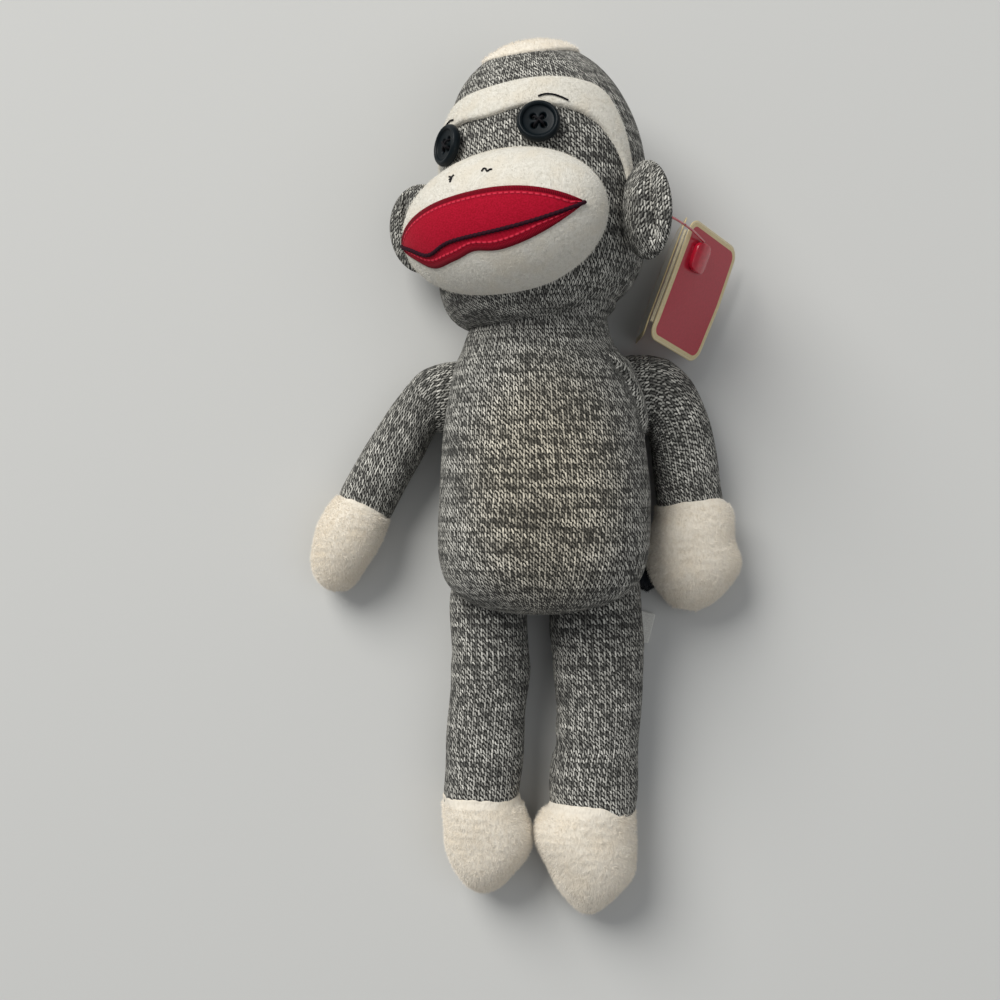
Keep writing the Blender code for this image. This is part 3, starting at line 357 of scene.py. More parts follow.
def build(name, grid, finish, pattern=None, yarn=False):
    """A closed skin from grid[row, column]: columns run round and join up, and each end row closes
    on the middle of its ring. pattern holds the map's coordinates, with one more column than the
    grid, so that the last stitch meets the first. Without one they run from 0 to 1. Where the
    rings run the other way round, the faces are turned, and with yarn the map is mirrored, so it
    twists the same way everywhere."""
    rows, columns = grid.shape[:2]
    if pattern is None:
        across, along = np.linspace(0, 1, columns + 1), np.linspace(0, 1, rows)
        pattern = np.stack(np.meshgrid(across, along), -1)
    row, column = np.meshgrid(np.arange(rows - 1), np.arange(columns), indexing="ij")
    steps = [(0, 0), (0, 1), (1, 1), (1, 0)]
    quads = [(row + down) * columns + (column + right) % columns for down, right in steps]
    faces = [np.stack(quads, -1).reshape(-1, 4)]
    quads = [pattern[row + down, column + right] for down, right in steps]
    maps = [np.stack(quads, 2).reshape(-1, 4, 2)]
    around = np.arange(columns)
    for end, at in enumerate((0, rows - 1)):
        ring = [at * columns + around, at * columns + (around + 1) % columns]
        edge = [pattern[at, :-1], pattern[at, 1:]]
        if end == 0:
            ring, edge = ring[::-1], edge[::-1]
        faces.append(np.stack([*ring, np.full(columns, rows * columns + end)], -1))
        maps.append(np.stack([*edge, (edge[0] + edge[1]) / 2], 1))
    points = np.concatenate([grid.reshape(-1, 3), grid[[0, -1]].mean(1)])
    volume = 0
    for group in faces:
        first = points[group[:, 0]]
        for k in range(1, group.shape[1] - 1):
            volume += (first * np.cross(points[group[:, k]], points[group[:, k + 1]])).sum()
    if volume < 0:
        faces = [group[:, ::-1] for group in faces]
        maps = [group[:, ::-1] * (-1 if yarn else 1, 1) for group in maps]
    faces = [face for group in faces for face in group.tolist()]
    made = add_object(name, points.tolist(), faces, finish)
    corners = np.concatenate([group.reshape(-1, 2) for group in maps]).astype(np.float32)
    made.data.uv_layers.new(name="pattern").uv.foreach_set("vector", corners.ravel())
    made.data.shade_smooth()
    return made


def dress(piece, body=None, nodes=()):
    if body:
        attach(piece, body)
    if nodes:
        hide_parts(*nodes)


# %% [markdown]
# ## Stuffed forms
# Every stuffed piece is a tube of rings. Each ring lies between two points traced on the
# photograph, its left and right edges, so the outline is right from above. Its depth makes it
# round, and where it sinks below the floor it is pressed flat, as a soft toy is when it lies down.

# %% Curves and rings
def unit(vectors):
    return vectors / np.maximum(np.linalg.norm(vectors, axis=-1, keepdims=True), 1e-12)


def steps_of(points):
    """The distance from each point, or row of points, to the next."""
    return np.linalg.norm(np.diff(points, axis=0), axis=-1)


def around(count):
    """Angles that share a full circle evenly."""
    return np.linspace(0, 2 * math.pi, count, endpoint=False)


def from_middle(grid):
    """Unit directions from each ring's middle to its points."""
    return unit(grid - grid.mean(1, keepdims=True))


def smooth(table, count):
    """A Catmull-Rom curve through the table's rows, cut into count rows. Between rows p1 and p2,
    at share t: half of 2 p1 + (p2 - p0) t + (2 p0 - 5 p1 + 4 p2 - p3) t^2
    + (3 p1 - 3 p2 + p3 - p0) t^3."""
    table = np.asarray(table, float)
    padded = np.concatenate([[2 * table[0] - table[1]], table, [2 * table[-1] - table[-2]]])
    at = np.linspace(0, len(table) - 1, count)
    k = np.minimum(at.astype(int), len(table) - 2)
    t = (at - k)[:, None]
    p0, p1, p2, p3 = padded[k], padded[k + 1], padded[k + 2], padded[k + 3]
    return 0.5 * (2 * p1 + (p2 - p0) * t + (2 * p0 - 5 * p1 + 4 * p2 - p3) * t ** 2
                  + (3 * p1 - 3 * p2 + p3 - p0) * t ** 3)


def press_flat(grid, softness=1.2 * MM):
    """The floor holds the skin up: z becomes half of z plus the root of z squared and softness
    squared, less softness / 8, which leaves high points alone and never goes below zero."""
    z = grid[..., 2]
    grid[..., 2] = np.maximum(0.5 * (z + np.sqrt(z * z + softness ** 2)) - softness / 8, 0.0)
    return grid


def ripple(points, size, seed):
    """A gentle unevenness between -1 and 1: eight sine waves in fixed random directions."""
    random = np.random.default_rng(seed)
    waves = unit(random.normal(size=(8, 3))) * 2 * math.pi / size
    phase = random.uniform(0, 2 * math.pi, 8)
    return np.sin(points @ waves.T + phase).mean(-1) * 1.8


def puffed(grid, height, size, seed):
    """Moves each point along the line from its ring's middle by ripple times height."""
    return grid + from_middle(grid) * (ripple(grid, size, seed) * height)[..., None]


def rings(rungs, rows, columns, roundness=2.2):
    """Rings between a ladder's edges. A rung is left x, left y, right x, right y, half depth and
    the height of its middle, in mm. Point = middle + half width * cos^(2/n) * side
    + half depth * sin^(2/n) * up, with n the roundness. The angles are chosen so that the
    columns are equally far apart round the middle ring."""
    ladder = smooth(rungs, rows) * MM
    left = np.column_stack([ladder[:, 0:2], ladder[:, 5]])
    right = np.column_stack([ladder[:, 2:4], ladder[:, 5]])
    middle = (left + right) / 2
    side = (left - right) / 2
    fine = np.linspace(0, 2 * math.pi, 2001)
    bend = 2 / roundness
    cosine = np.sign(np.cos(fine)) * np.abs(np.cos(fine)) ** bend
    sine = np.sign(np.sin(fine)) * np.abs(np.sin(fine)) ** bend
    width = np.linalg.norm(side[rows // 2])
    steps = np.hypot(np.diff(cosine) * width, np.diff(sine) * ladder[rows // 2, 4])
    length = np.concatenate([[0], np.cumsum(steps)])
    even = np.linspace(0, length[-1], columns, endpoint=False)
    cosine, sine = np.interp(even, length, cosine), np.interp(even, length, sine)
    up = np.array([0, 0, 1.0])
    return (middle[:, None] + side[:, None] * cosine[None, :, None]
            + up * ladder[:, 4][:, None, None] * sine[None, :, None])


def stitched(grid, wales, start=0.0):
    """The knit's map: wales go round, and courses follow the mean length along the columns."""
    length = np.concatenate([[0], np.cumsum(steps_of(grid).mean(1))])
    across = np.linspace(0, wales, grid.shape[1] + 1)[None, :]
    along = (start + length / STITCH_TALL)[:, None]
    return np.stack(np.broadcast_arrays(across, along), -1)


# %% [markdown]
# ## Stray fibres
# Plush shows as plush at its rim, where single fibres stand out against what is behind. They are
# real geometry, but only a few thousand to a piece, scattered over its skin.

# %% Fibres that stand on a skin
FIBRE_WIDE = 0.05 * MM
FIBRE_DEEP = 0.12 * MM
LOWEST_FIBRE = 0.8 * MM


def pile(name, grid, count, length, comb, finish, bare=None):
    """Short fibres on a skin's grid. Each is a three-sided spike: its root is a small triangle
    just under the skin, and its tip is length away along the normal, leaned by comb and by chance.
    Cells are drawn in proportion to their area, so the fibres are spread evenly. bare marks the
    cells that stay clear. The count is the seed too."""
    random = np.random.default_rng(count)
    after = np.roll(grid, -1, axis=1)
    corners = [part.reshape(-1, 3) for part in (grid[:-1], after[:-1], after[1:], grid[1:])]
    normal = np.cross(corners[2] - corners[0], corners[3] - corners[1])
    area = np.linalg.norm(normal, axis=1)
    normal = normal / np.maximum(area, 1e-12)[:, None]
    middle = sum(corners) / 4
    if ((middle - middle.mean(0)) * normal * area[:, None]).sum() < 0:
        normal = -normal
    area = area * (middle[:, 2] > LOWEST_FIBRE)
    if bare is not None:
        area = area * ~bare[:-1].ravel()
    cell = random.choice(len(area), count, p=area / area.sum())
    u, v = random.uniform(size=(2, count, 1))
    a, b, c, d = [corner[cell] for corner in corners]
    root = (a * (1 - u) + b * u) * (1 - v) + (d * (1 - u) + c * u) * v
    out = normal[cell]
    way = out + np.asarray(comb, float) + random.normal(size=(count, 3)) * 0.35
    way -= out * np.minimum((way * out).sum(1, keepdims=True) - 0.25, 0)
    way = unit(way)
    first = unit(np.cross(way, random.normal(size=(count, 3))))
    second = np.cross(way, first)
    foot = root - out * FIBRE_DEEP
    spokes = [foot + FIBRE_WIDE * (math.cos(turned) * first + math.sin(turned) * second)
              for turned in (0, 2 * math.pi / 3, 4 * math.pi / 3)]
    tip = root + way * length * random.uniform(0.6, 1.0, (count, 1))
    points = np.stack([*spokes, tip], 1).reshape(-1, 3)
    points[:, 2] = np.maximum(points[:, 2], 0)
    base = 4 * np.arange(count)[:, None]
    sides = ((2, 1, 0), (0, 1, 3), (1, 2, 3), (2, 0, 3))
    faces = np.concatenate([base + np.array(face) for face in sides])
    return add_object(name, points.tolist(), faces.tolist(), finish)


# %% [markdown]
# ## Torso and neck
# The body is one knit tube, full at the seat and drawn in at the neck, where the head is sewn on.
# The part above the collar is its own mesh, between the torso and the head.

# %% Torso and neck
TORSO_WALES = 108
THREAD_Y = 45.5 * MM
NECK_LONG = 11.0 * MM
NECK_PLEATS = 30
TORSO_RUNGS = [
    (-21.5, 40.6, 18.9, 40.6, 18, 26.4), (-23, 36.6, 20.8, 36.6, 19.4, 25.8),
    (-25.2, 31.5, 23.8, 31.5, 21.6, 25.2), (-26.6, 24, 26.2, 24, 23.2, 24.8),
    (-27.9, 15, 27.8, 15, 24.4, 24.6), (-28.8, 6, 29.2, 6, 25, 25),
    (-29.6, -4, 30.4, -4, 25.4, 25.2), (-30.2, -14, 30.2, -14, 25.5, 25.2),
    (-29.7, -22.5, 29, -22.5, 25, 25.1), (-27, -29.6, 25.8, -29.6, 22.6, 24.8),
    (-20.6, -34.8, 18.6, -34.8, 17.6, 24.4), (-11.2, -37.4, 9, -37.4, 9.8, 24.2),
    (-3.8, -38, 1.2, -38, 2.4, 24.2),
]
NECK_RUNGS = [
    (-18.2, 51.6, 19.6, 51.6, 18.2, 28.3), (-18.6, 48.6, 20.4, 48.6, 18.4, 28.2),
    (-19.2, 45.6, 18.2, 45.6, 16.9, 27.4), (-20.3, 43.2, 18.3, 43.2, 17.3, 26.8),
    (-21.5, 40.6, 18.9, 40.6, 18, 26.4),
]


def knit_piece(name, grid, wales, body, node, start=0.0, finish=KNIT, remap=None):
    """A knit skin in place of a node. Without a body, it is attached to none."""
    pattern = stitched(grid, wales, start)
    if remap:
        pattern = remap(grid, pattern)
    made = build(name, grid, finish, pattern, yarn=True)
    dress(made, body, [node])
    return made


def past_seam(grid):
    """Distance past the left sleeve's seam, a line bowed towards the neck, and how much of the
    sleeve is there: it fades out at the seam's ends and on the torso's side and back."""
    start, end = np.array([17.0, 32.4]) * MM, np.array([26.8, 14.0]) * MM
    length = np.linalg.norm(end - start)
    line = (end - start) / length
    off = grid[..., :2] - start
    run = off @ line / length
    bow = 1.6 * MM * np.sin(np.clip(run, 0, 1) * math.pi)
    past = off[..., 1] * line[0] - off[..., 0] * line[1] - bow
    there = np.clip(run / 0.25 + 0.6, 0, 1) * np.clip((1.0 - run) / 0.25 + 0.6, 0, 1)
    return past, there * np.clip((grid[..., 2] - 22 * MM) / (5 * MM), 0, 1)


def shoulder_seam(grid):
    """The sleeve is sewn on over the torso's corner: past its seam the skin stands 2.6 mm proud,
    and the seam is a groove with small puckers."""
    past, there = past_seam(grid)
    proud = 1 / (1 + np.exp(-(past - 0.7 * MM) / (0.28 * MM)))
    groove = np.exp(-(past / (0.5 * MM)) ** 2) * (0.7 + 0.3 * np.sin(grid[..., 1] / (0.55 * MM)))
    lift = (2.6 * proud * np.exp(-np.clip(past / (14 * MM), 0, 9)) - 0.7 * groove) * MM * there
    return grid + from_middle(grid) * lift[..., None]


def sleeve_map(grid, pattern, degrees=-38.0):
    """Past the seam the stitches run the sleeve's way: the map is turned there."""
    past, there = past_seam(grid)
    sleeve = (past > 0.3 * MM) & (there > 0.3)
    sleeve = np.concatenate([sleeve, sleeve[:, :1]], 1)
    x, y = pattern[..., 0] * STITCH_WIDE, pattern[..., 1] * STITCH_TALL
    cosine, sine = math.cos(math.radians(degrees)), math.sin(math.radians(degrees))
    turned = [(x * cosine - y * sine) / STITCH_WIDE, (x * sine + y * cosine) / STITCH_TALL]
    return np.where(sleeve[..., None], np.stack(turned, -1), pattern)


# The torso is even at the collar, so that the neck's first ring fits on it
torso_grid = rings(TORSO_RUNGS, 210, 216)
fade = np.clip((38.5 * MM - torso_grid[..., 1]) / (6 * MM), 0, 1)
torso_grid = torso_grid + (puffed(torso_grid, 0.55 * MM, 0.034, 3) - torso_grid) * fade[..., None]
torso_grid = shoulder_seam(torso_grid)
knit_piece("torso_skin", press_flat(torso_grid), TORSO_WALES, "torso", "torso_knit",
           finish=CHEST_KNIT, remap=sleeve_map)

# The thread draws the neck in between its pleats
neck_grid = rings(NECK_RUNGS, 40, 216)
tuck = np.exp(-((neck_grid[..., 1] - THREAD_Y) / (0.5 * MM)) ** 2)
turns = np.linspace(0, 2 * math.pi * NECK_PLEATS, neck_grid.shape[1], endpoint=False)
pleats = 0.5 + 0.5 * np.cos(turns)[None, :]
neck_grid = neck_grid - from_middle(neck_grid) * (tuck * (0.15 + 0.25 * pleats) * MM)[..., None]
neck_skin = knit_piece("neck_skin", neck_grid, TORSO_WALES, None, "neck_sleeve",
                       -NECK_LONG / STITCH_TALL, CHEST_KNIT)
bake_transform(neck_skin)

# %% [markdown]
# ## Arms and legs
# Each limb is a knit tube that bends where it is sewn on. Its root is one mesh between the torso
# and the shoulder or hip, and the rest is another that starts on the very same ring.

# %% Arms and legs
ROOT_RUNGS = 4
ROWS_PER_RUNG = 18


def limb(side, root, part, wales, bends, rungs):
    """The root takes the first rungs and the rest of the limb starts on the root's last one. Each
    is puffed, but not near its ends, so that both end on the same ring."""
    top, lower = [rings(ladder, ROWS_PER_RUNG * (len(ladder) - 1), 72, 2.15)
                  for ladder in (rungs[:ROOT_RUNGS], rungs[ROOT_RUNGS - 1:])]
    for grid, seed in ((top, 11), (lower, 12)):
        share = np.minimum(np.arange(len(grid)), np.arange(len(grid))[::-1]) / 8
        loose = puffed(grid, 0.5 * MM, 0.022, seed + wales)
        grid += (loose - grid) * np.clip(share, 0, 1)[:, None, None]
    start = -steps_of(top.mean(1)).sum() / STITCH_TALL
    pieces = []
    for name, grid, first in ((root, top, start), (part, lower, 0.0)):
        node = f"{side}_{name}"
        pieces.append(knit_piece(f"{node}_skin", press_flat(grid), wales, None, node, first))
    bends = np.array(bends) * MM
    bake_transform(pieces[0])
    if len(bends) > 2:
        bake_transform(pieces[1])
    else:
        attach(pieces[1], f"{side}_{part}")
    print(side, part, [len(piece.data.polygons) for piece in pieces], "faces")


# Each limb: its wales, the points between which it bends, and its rungs, all in mm
LIMBS = {
    ("left", "shoulder", "arm"): (41, [(20.0, 24.5, 9.9), (31.0, 24.5, 9.9)], [
        (13, 31.4, 13, 15.8, 9.4, 12.8), (20.2, 34.6, 19.6, 13.6, 11.4, 12.8),
        (25.6, 36.4, 25, 12.8, 12, 12), (31, 36.6, 31, 13.4, 11.8, 11.4),
        (37.6, 35, 31.4, 11.4, 11.5, 11.1),
        (44.2, 29.2, 31.8, 9, 11, 10.6), (48.6, 20, 32.2, 5.8, 10.6, 10.2),
        (50.6, 10.4, 32.8, 1.6, 10.2, 10), (52, 1, 33.6, -3.2, 9.8, 9.7),
        (53.4, -6.6, 34.2, -7.6, 9.6, 9.6), (53.2, -7.4, 34.5, -8.4, 9.2, 9.6),
        (51.8, -7.2, 35.9, -8.1, 8, 9.6), (47.5, -6.2, 40.5, -6.8, 3.5, 9.6),
    ]),
    ("right", "shoulder", "arm"): (36, [(-20.0, 24.5, 7.8), (-31.0, 24.5, 7.8)], [
        (-13.5, 15.8, -13.5, 31.6, 8.6, 11), (-22, 14.4, -22.6, 35, 9.6, 10.4),
        (-26.6, 14.2, -27.2, 35, 9.8, 10), (-31, 14.2, -31, 33.9, 9.8, 9.8),
        (-32.6, 11.6, -36.4, 31.2, 9.5, 9.6),
        (-34.6, 7.6, -41.7, 25, 9.1, 9.3), (-37, 3.1, -46.6, 18.6, 8.8, 9),
        (-39.2, -1.1, -51.4, 11.5, 8.6, 8.8), (-41.4, -5.6, -55.2, 4.1, 8.6, 8.7),
        (-44, -10.7, -58.8, -3.2, 8.7, 8.7), (-44.7, -11.2, -58.6, -4.2, 8.3, 8.7),
        (-45.9, -10.2, -57.1, -4.4, 7, 8.7), (-49.5, -8, -53, -6, 2.5, 8.7),
    ]),
    ("left", "hip", "leg"): (50, [(16.0, -38.0, 12), (16.0, -50.5, 12), (16.0, -62.0, 12)], [
        (28, -27, 4, -27, 10.5, 13.5), (29, -34, 2.8, -34, 12, 12.8),
        (29.5, -42, 2.4, -42, 12.5, 12.5), (29.6, -50.5, 3.1, -50.5, 12.6, 12.4),
        (29.3, -58.8, 3.6, -58.8, 12.6, 12.4),
        (28.9, -66.4, 4.2, -66.4, 12.5, 12.4), (28.6, -72.4, 4, -72.4, 12.5, 12.3),
        (28.4, -76.8, 4.5, -76.8, 12.1, 12.3), (28.2, -81, 3.2, -81, 12.4, 12.3),
        (27.8, -87.5, 2.4, -87.5, 12.5, 12.3), (27.2, -94.6, 2.5, -94.6, 12.4, 12.3),
        (26.6, -96.8, 3, -96.8, 12, 12.3), (25, -96.6, 4.6, -96.6, 10.6, 12.3),
        (19, -94.6, 10.5, -94.6, 5, 12.3),
    ]),
    ("right", "hip", "leg"): (45, [(-16.0, -38.0, 12), (-16.0, -50.5, 12), (-16.0, -62.0, 12)], [
        (-5, -27, -25, -27, 10, 12.8), (-4, -34, -26.3, -34, 11.2, 12.2),
        (-3.9, -42, -26.4, -42, 11.7, 11.8), (-3.7, -50.5, -26.2, -50.5, 11.8, 11.7),
        (-4, -59, -26.4, -59, 11.8, 11.7),
        (-4.7, -67.7, -27.2, -67.7, 11.7, 11.7), (-5.4, -76.8, -28, -76.8, 11.7, 11.7),
        (-5.9, -85.9, -28.5, -85.9, 11.6, 11.7), (-6.6, -92, -28.7, -92, 11.6, 11.7),
        (-7.2, -94, -28.3, -94, 11.2, 11.7), (-8.8, -93.8, -26.8, -93.8, 9.8, 11.7),
        (-14, -92, -21, -92, 4.5, 11.7),
    ]),
}
for (side, root, part), shape in LIMBS.items():
    limb(side, root, part, *shape)

# %% [markdown]
# ## Hands and feet
# The hands and feet are plush bags. Their outlines are not symmetric, because the filling has
# shifted, so each one is a ladder of traced rungs too. Its first rungs go up inside the cuff.

# %% Hands and feet
def plush_piece(name, grid, slot, body, node, fibres, comb=(0, -0.5, 0.1), bare=None):
    """A plush skin in place of a node, and its stray fibres, which ride the same body."""
    finish, fibre, length = PLUSH[slot]
    dress(build(name, grid, finish), body, [node])
    dress(pile(f"{name}_pile", grid, fibres, length, comb, fibre, bare), body)


PLUSH_ROWS = 110
CUFF_ROWS = 26
HANDS_AND_FEET = {
    "left_hand": [
        (47, -4, 41, -4.6, 4, 9.7), (52, -4.6, 35.4, -5.4, 8.4, 9.7),
        (54.9, -6.9, 33.7, -7.6, 9.9, 9.9), (55.8, -10.4, 33.3, -11, 10.6, 10.4),
        (56, -16.6, 31.7, -15.7, 11.2, 10.8), (57.8, -23.8, 31, -22.8, 11, 10.7),
        (55.3, -30.2, 32.2, -28.4, 9.6, 9.6), (51.2, -35.2, 35.6, -33.6, 7.2, 7.6),
        (45.8, -38.4, 39.2, -37.4, 3.4, 5.6),
    ],
    "right_hand": [
        (-49.4, -5.6, -53.4, -3.6, 4, 8.8), (-45.6, -9.6, -57.2, -3.4, 7.8, 8.8),
        (-44.6, -11.4, -59.8, -4.6, 9, 9.2), (-45.2, -13.6, -62.8, -8.6, 9.8, 9.6),
        (-46.6, -16.8, -65.8, -14, 9.9, 9.7), (-49, -21, -67, -21, 9.4, 9.3),
        (-52.4, -26.2, -66.6, -26.6, 8, 8.2), (-55.6, -30.2, -64.4, -30.6, 5.6, 6.4),
        (-58.4, -32.4, -61, -32.5, 2.4, 4.8),
    ],
    "left_foot": [
        (20, -91, 9.6, -91, 5, 12.6), (26, -92.6, 3.4, -92.6, 11.6, 12.6),
        (27, -95, 1.4, -95, 12.7, 12.8), (27.1, -98, -1, -97.6, 13, 13),
        (27.1, -103, -2.2, -102, 13.1, 13), (27.2, -109, -0.6, -107.6, 12.6, 12.6),
        (26.8, -114.6, 2, -113, 11.6, 11.8), (23.2, -119.4, 4.8, -118.6, 10, 10.4),
        (19, -124.4, 8, -123.6, 7, 8.2), (15.4, -127.6, 11.4, -127.2, 3, 6),
    ],
    "right_foot": [
        (-13, -88.4, -22, -88.4, 5, 11.8), (-7.6, -90.6, -28, -90.6, 10.8, 11.8),
        (-5.9, -93.4, -29, -93, 11.9, 12), (-4.4, -97, -28.9, -97, 12.3, 12.3),
        (-3, -101, -28.5, -101.6, 12.3, 12.3), (-2.7, -105.4, -27.8, -106.4, 11.9, 12),
        (-4.6, -109.6, -26.4, -111, 11.2, 11.4), (-8, -113.6, -24.4, -115, 9.8, 10.2),
        (-11.2, -118, -21.6, -118.8, 6.8, 7.8), (-14.4, -120.8, -18, -121.4, 2.8, 5.6),
    ],
}
in_cuff = np.zeros((PLUSH_ROWS, PLUSH_ROWS), bool)
in_cuff[:CUFF_ROWS] = True
for name, rungs in HANDS_AND_FEET.items():
    grid = puffed(rings(rungs, PLUSH_ROWS, PLUSH_ROWS, 2.1), 0.45 * MM, 0.014, len(name))
    grid = puffed(grid, 0.14 * MM, 0.0026, 7)
    plush_piece(f"{name}_plush", press_flat(grid), "cream_plush", name, name, 16000,
                bare=in_cuff)
    print(name, "spans", np.round(np.ptp(grid.reshape(-1, 3), axis=0) / MM, 1), "mm")

# %% [markdown]
# ## Head
# The head is an egg of the same knit, on its own axes: it lies turned to one side and tilted a
# little. Everything on the face is worked out on those axes and then carried to the world.

# %% Head frame and egg
HEAD_RADIUS = 28.8 * MM
CROWN_HEIGHT = 39.0 * MM
JAW_DEPTH = 41.5 * MM


def turn(axis, degrees):
    """A 3 by 3 rotation about a world axis."""
    sine, cosine = math.sin(math.radians(degrees)), math.cos(math.radians(degrees))
    first, second = (axis + 1) % 3, (axis + 2) % 3
    matrix = np.eye(3)
    matrix[first, first] = matrix[second, second] = cosine
    matrix[first, second], matrix[second, first] = -sine, sine
    return matrix


HEAD_TURN = turn(2, 4.7) @ turn(0, -4.1) @ turn(1, -32.0)
HEAD_CENTRE = np.array([0.0010, 0.0831, 0.0283])
JAW_LEAN = 10.0 * MM
LEAN_WAY = HEAD_TURN.T @ np.array([-1.0, 0, 0])


def to_world(points):
    return points @ HEAD_TURN.T + HEAD_CENTRE


def egg_radius(y, growth=0.0):
    """Radius times (1 - share^power)^(1/power), with power 2 up to the crown and 3.5 to the jaw."""
    y = np.asarray(y, float)
    tall = np.where(y > 0, CROWN_HEIGHT, JAW_DEPTH) + growth
    power = np.where(y > 0, 2.0, 3.5)
    share = np.clip(np.abs(y) / tall, 0, 1)
    return (HEAD_RADIUS + growth) * (1 - share ** power) ** (1 / power)


def jaw_lean(y):
    """The jaw is pushed to the doll's right: the egg's middle moves by share^2.5 of the lean."""
    share = np.clip((CROWN_HEIGHT - np.asarray(y, float)) / (CROWN_HEIGHT + JAW_DEPTH), 0, 1)
    return (JAW_LEAN * share ** 2.5)[..., None] * LEAN_WAY


def on_head(angle, y, rise):
    """A point of the egg at an angle round from the face, at height y, raised by rise."""
    radius = egg_radius(y) + rise
    y = y + 0 * angle
    return np.stack([radius * np.sin(angle), y, radius * np.cos(angle)], -1) + jaw_lean(y)


def bulged(grid, spot, way, height, reach):
    """Moves points along way by height times a bell round spot, on the side that faces way."""
    facing = (grid - HEAD_CENTRE) @ np.asarray(way, float) / HEAD_RADIUS
    bell = np.exp(-((grid - np.asarray(spot, float) * MM) ** 2).sum(-1) / (reach * MM) ** 2)
    return grid + (height * MM * bell * np.clip(facing, 0, 1))[..., None] * np.asarray(way, float)


HEAD_WALES = 112
# Where the filling pushes out: the spot, the way, the height and the reach
CHEEK = ((27, 62, 26), (0.94, -0.34, 0), 3.0, 19)
TEMPLE = ((-20, 108, 30), (-0.87, 0.5, 0), 1.6, 15)
tilt = np.linspace(0.03, math.pi - 0.03, 130)
height = np.where(np.cos(tilt) > 0, CROWN_HEIGHT, JAW_DEPTH) * np.cos(tilt)
head_grid = on_head(around(144)[None, :], height[:, None], 0.0)
head_grid = to_world(puffed(head_grid, 0.4 * MM, 0.035, 21))
head_grid = bulged(bulged(head_grid, *CHEEK), *TEMPLE)
knit_piece("head_skin", press_flat(head_grid), HEAD_WALES, "head", "head_knit")

# %% [markdown]
# ## Muzzle
# The muzzle is a plush cushion on the lower face. The lips and the nostrils lie on it, so one
# function gives points on it for all of them.

# %% Points on the muzzle
MUZZLE_HALF = np.array([30.2, 19.1, 18.5]) * MM
MUZZLE_CENTRE = np.array([0, -15.6, 25.5]) * MM


def muzzle_point(x, y, rise):
    """The muzzle's front at x and y: centre + half depth * root of what the ellipse leaves,
    moved along its normal by rise."""
    across = x / MUZZLE_HALF[0]
    up = (y - MUZZLE_CENTRE[1]) / MUZZLE_HALF[1]
    front = np.sqrt(np.maximum(1 - across ** 2 - up ** 2, 0.0004))
    normal = unit(np.stack([across, up, front], -1) / MUZZLE_HALF)
    spot = np.stack([x, y, MUZZLE_CENTRE[2] + MUZZLE_HALF[2] * front], -1)
    return spot + normal * np.asarray(rise)[..., None]


# %% [markdown]
# Three lines run from corner to corner of the mouth: the upper lip's edge, the closed mouth and
# the lower lip's edge. The muzzle's fibres keep clear of the space between the outer two.

# %% The mouth's lines, and the muzzle
MOUTH_HALF = 28.2 * MM
MOUTH_CORNER = -17.2 * MM


def bow(x, rise, power):
    """A line from corner to corner of the mouth, with its middle higher by rise:
    corner + rise * (1 - share^power)^0.8."""
    share = np.clip(np.abs(x) / MOUTH_HALF, 0, 1)
    return MOUTH_CORNER + rise * (1 - share ** power) ** 0.8


def upper_edge(x):
    return bow(x, 6.4 * MM, 2.6)


def sag(x, depth):
    """The filling pulls the doll's right corner of the mouth down."""
    return -depth * np.exp(-((x + 15.0 * MM) / (5.5 * MM)) ** 2)


def mouth_middle(x):
    return bow(x, -5.0 * MM, 2.6) + sag(x, 2.1 * MM)


def lower_edge(x):
    notch = 1 - 0.12 * np.exp(-(x / MOUTH_HALF / 0.16) ** 2)
    return bow(x, -9.8 * MM * notch, 2.4) + sag(x, 1.6 * MM)


LIP_LAP = 0.3 * MM
tilt = np.linspace(0.02, math.pi - 0.02, 130)[:, None]
angle = around(160)[None, :]
ball = [np.sin(tilt) * np.cos(angle), np.sin(tilt) * np.sin(angle), np.cos(tilt) + 0 * angle]
muzzle_grid = np.stack(ball, -1) * MUZZLE_HALF + MUZZLE_CENTRE
across, up = muzzle_grid[..., 0], muzzle_grid[..., 1]
under_lips = (up < upper_edge(across) - LIP_LAP) & (up > lower_edge(across) + LIP_LAP)
under_lips &= (np.abs(across) < MOUTH_HALF) & (muzzle_grid[..., 2] > MUZZLE_CENTRE[2])
plush_piece("muzzle_plush", to_world(muzzle_grid), "white_plush", "head", "muzzle", 16000,
            (-0.3, -0.8, 0.0), under_lips)
print("muzzle fibres stay off", int(under_lips.sum()), "cells under the lips")
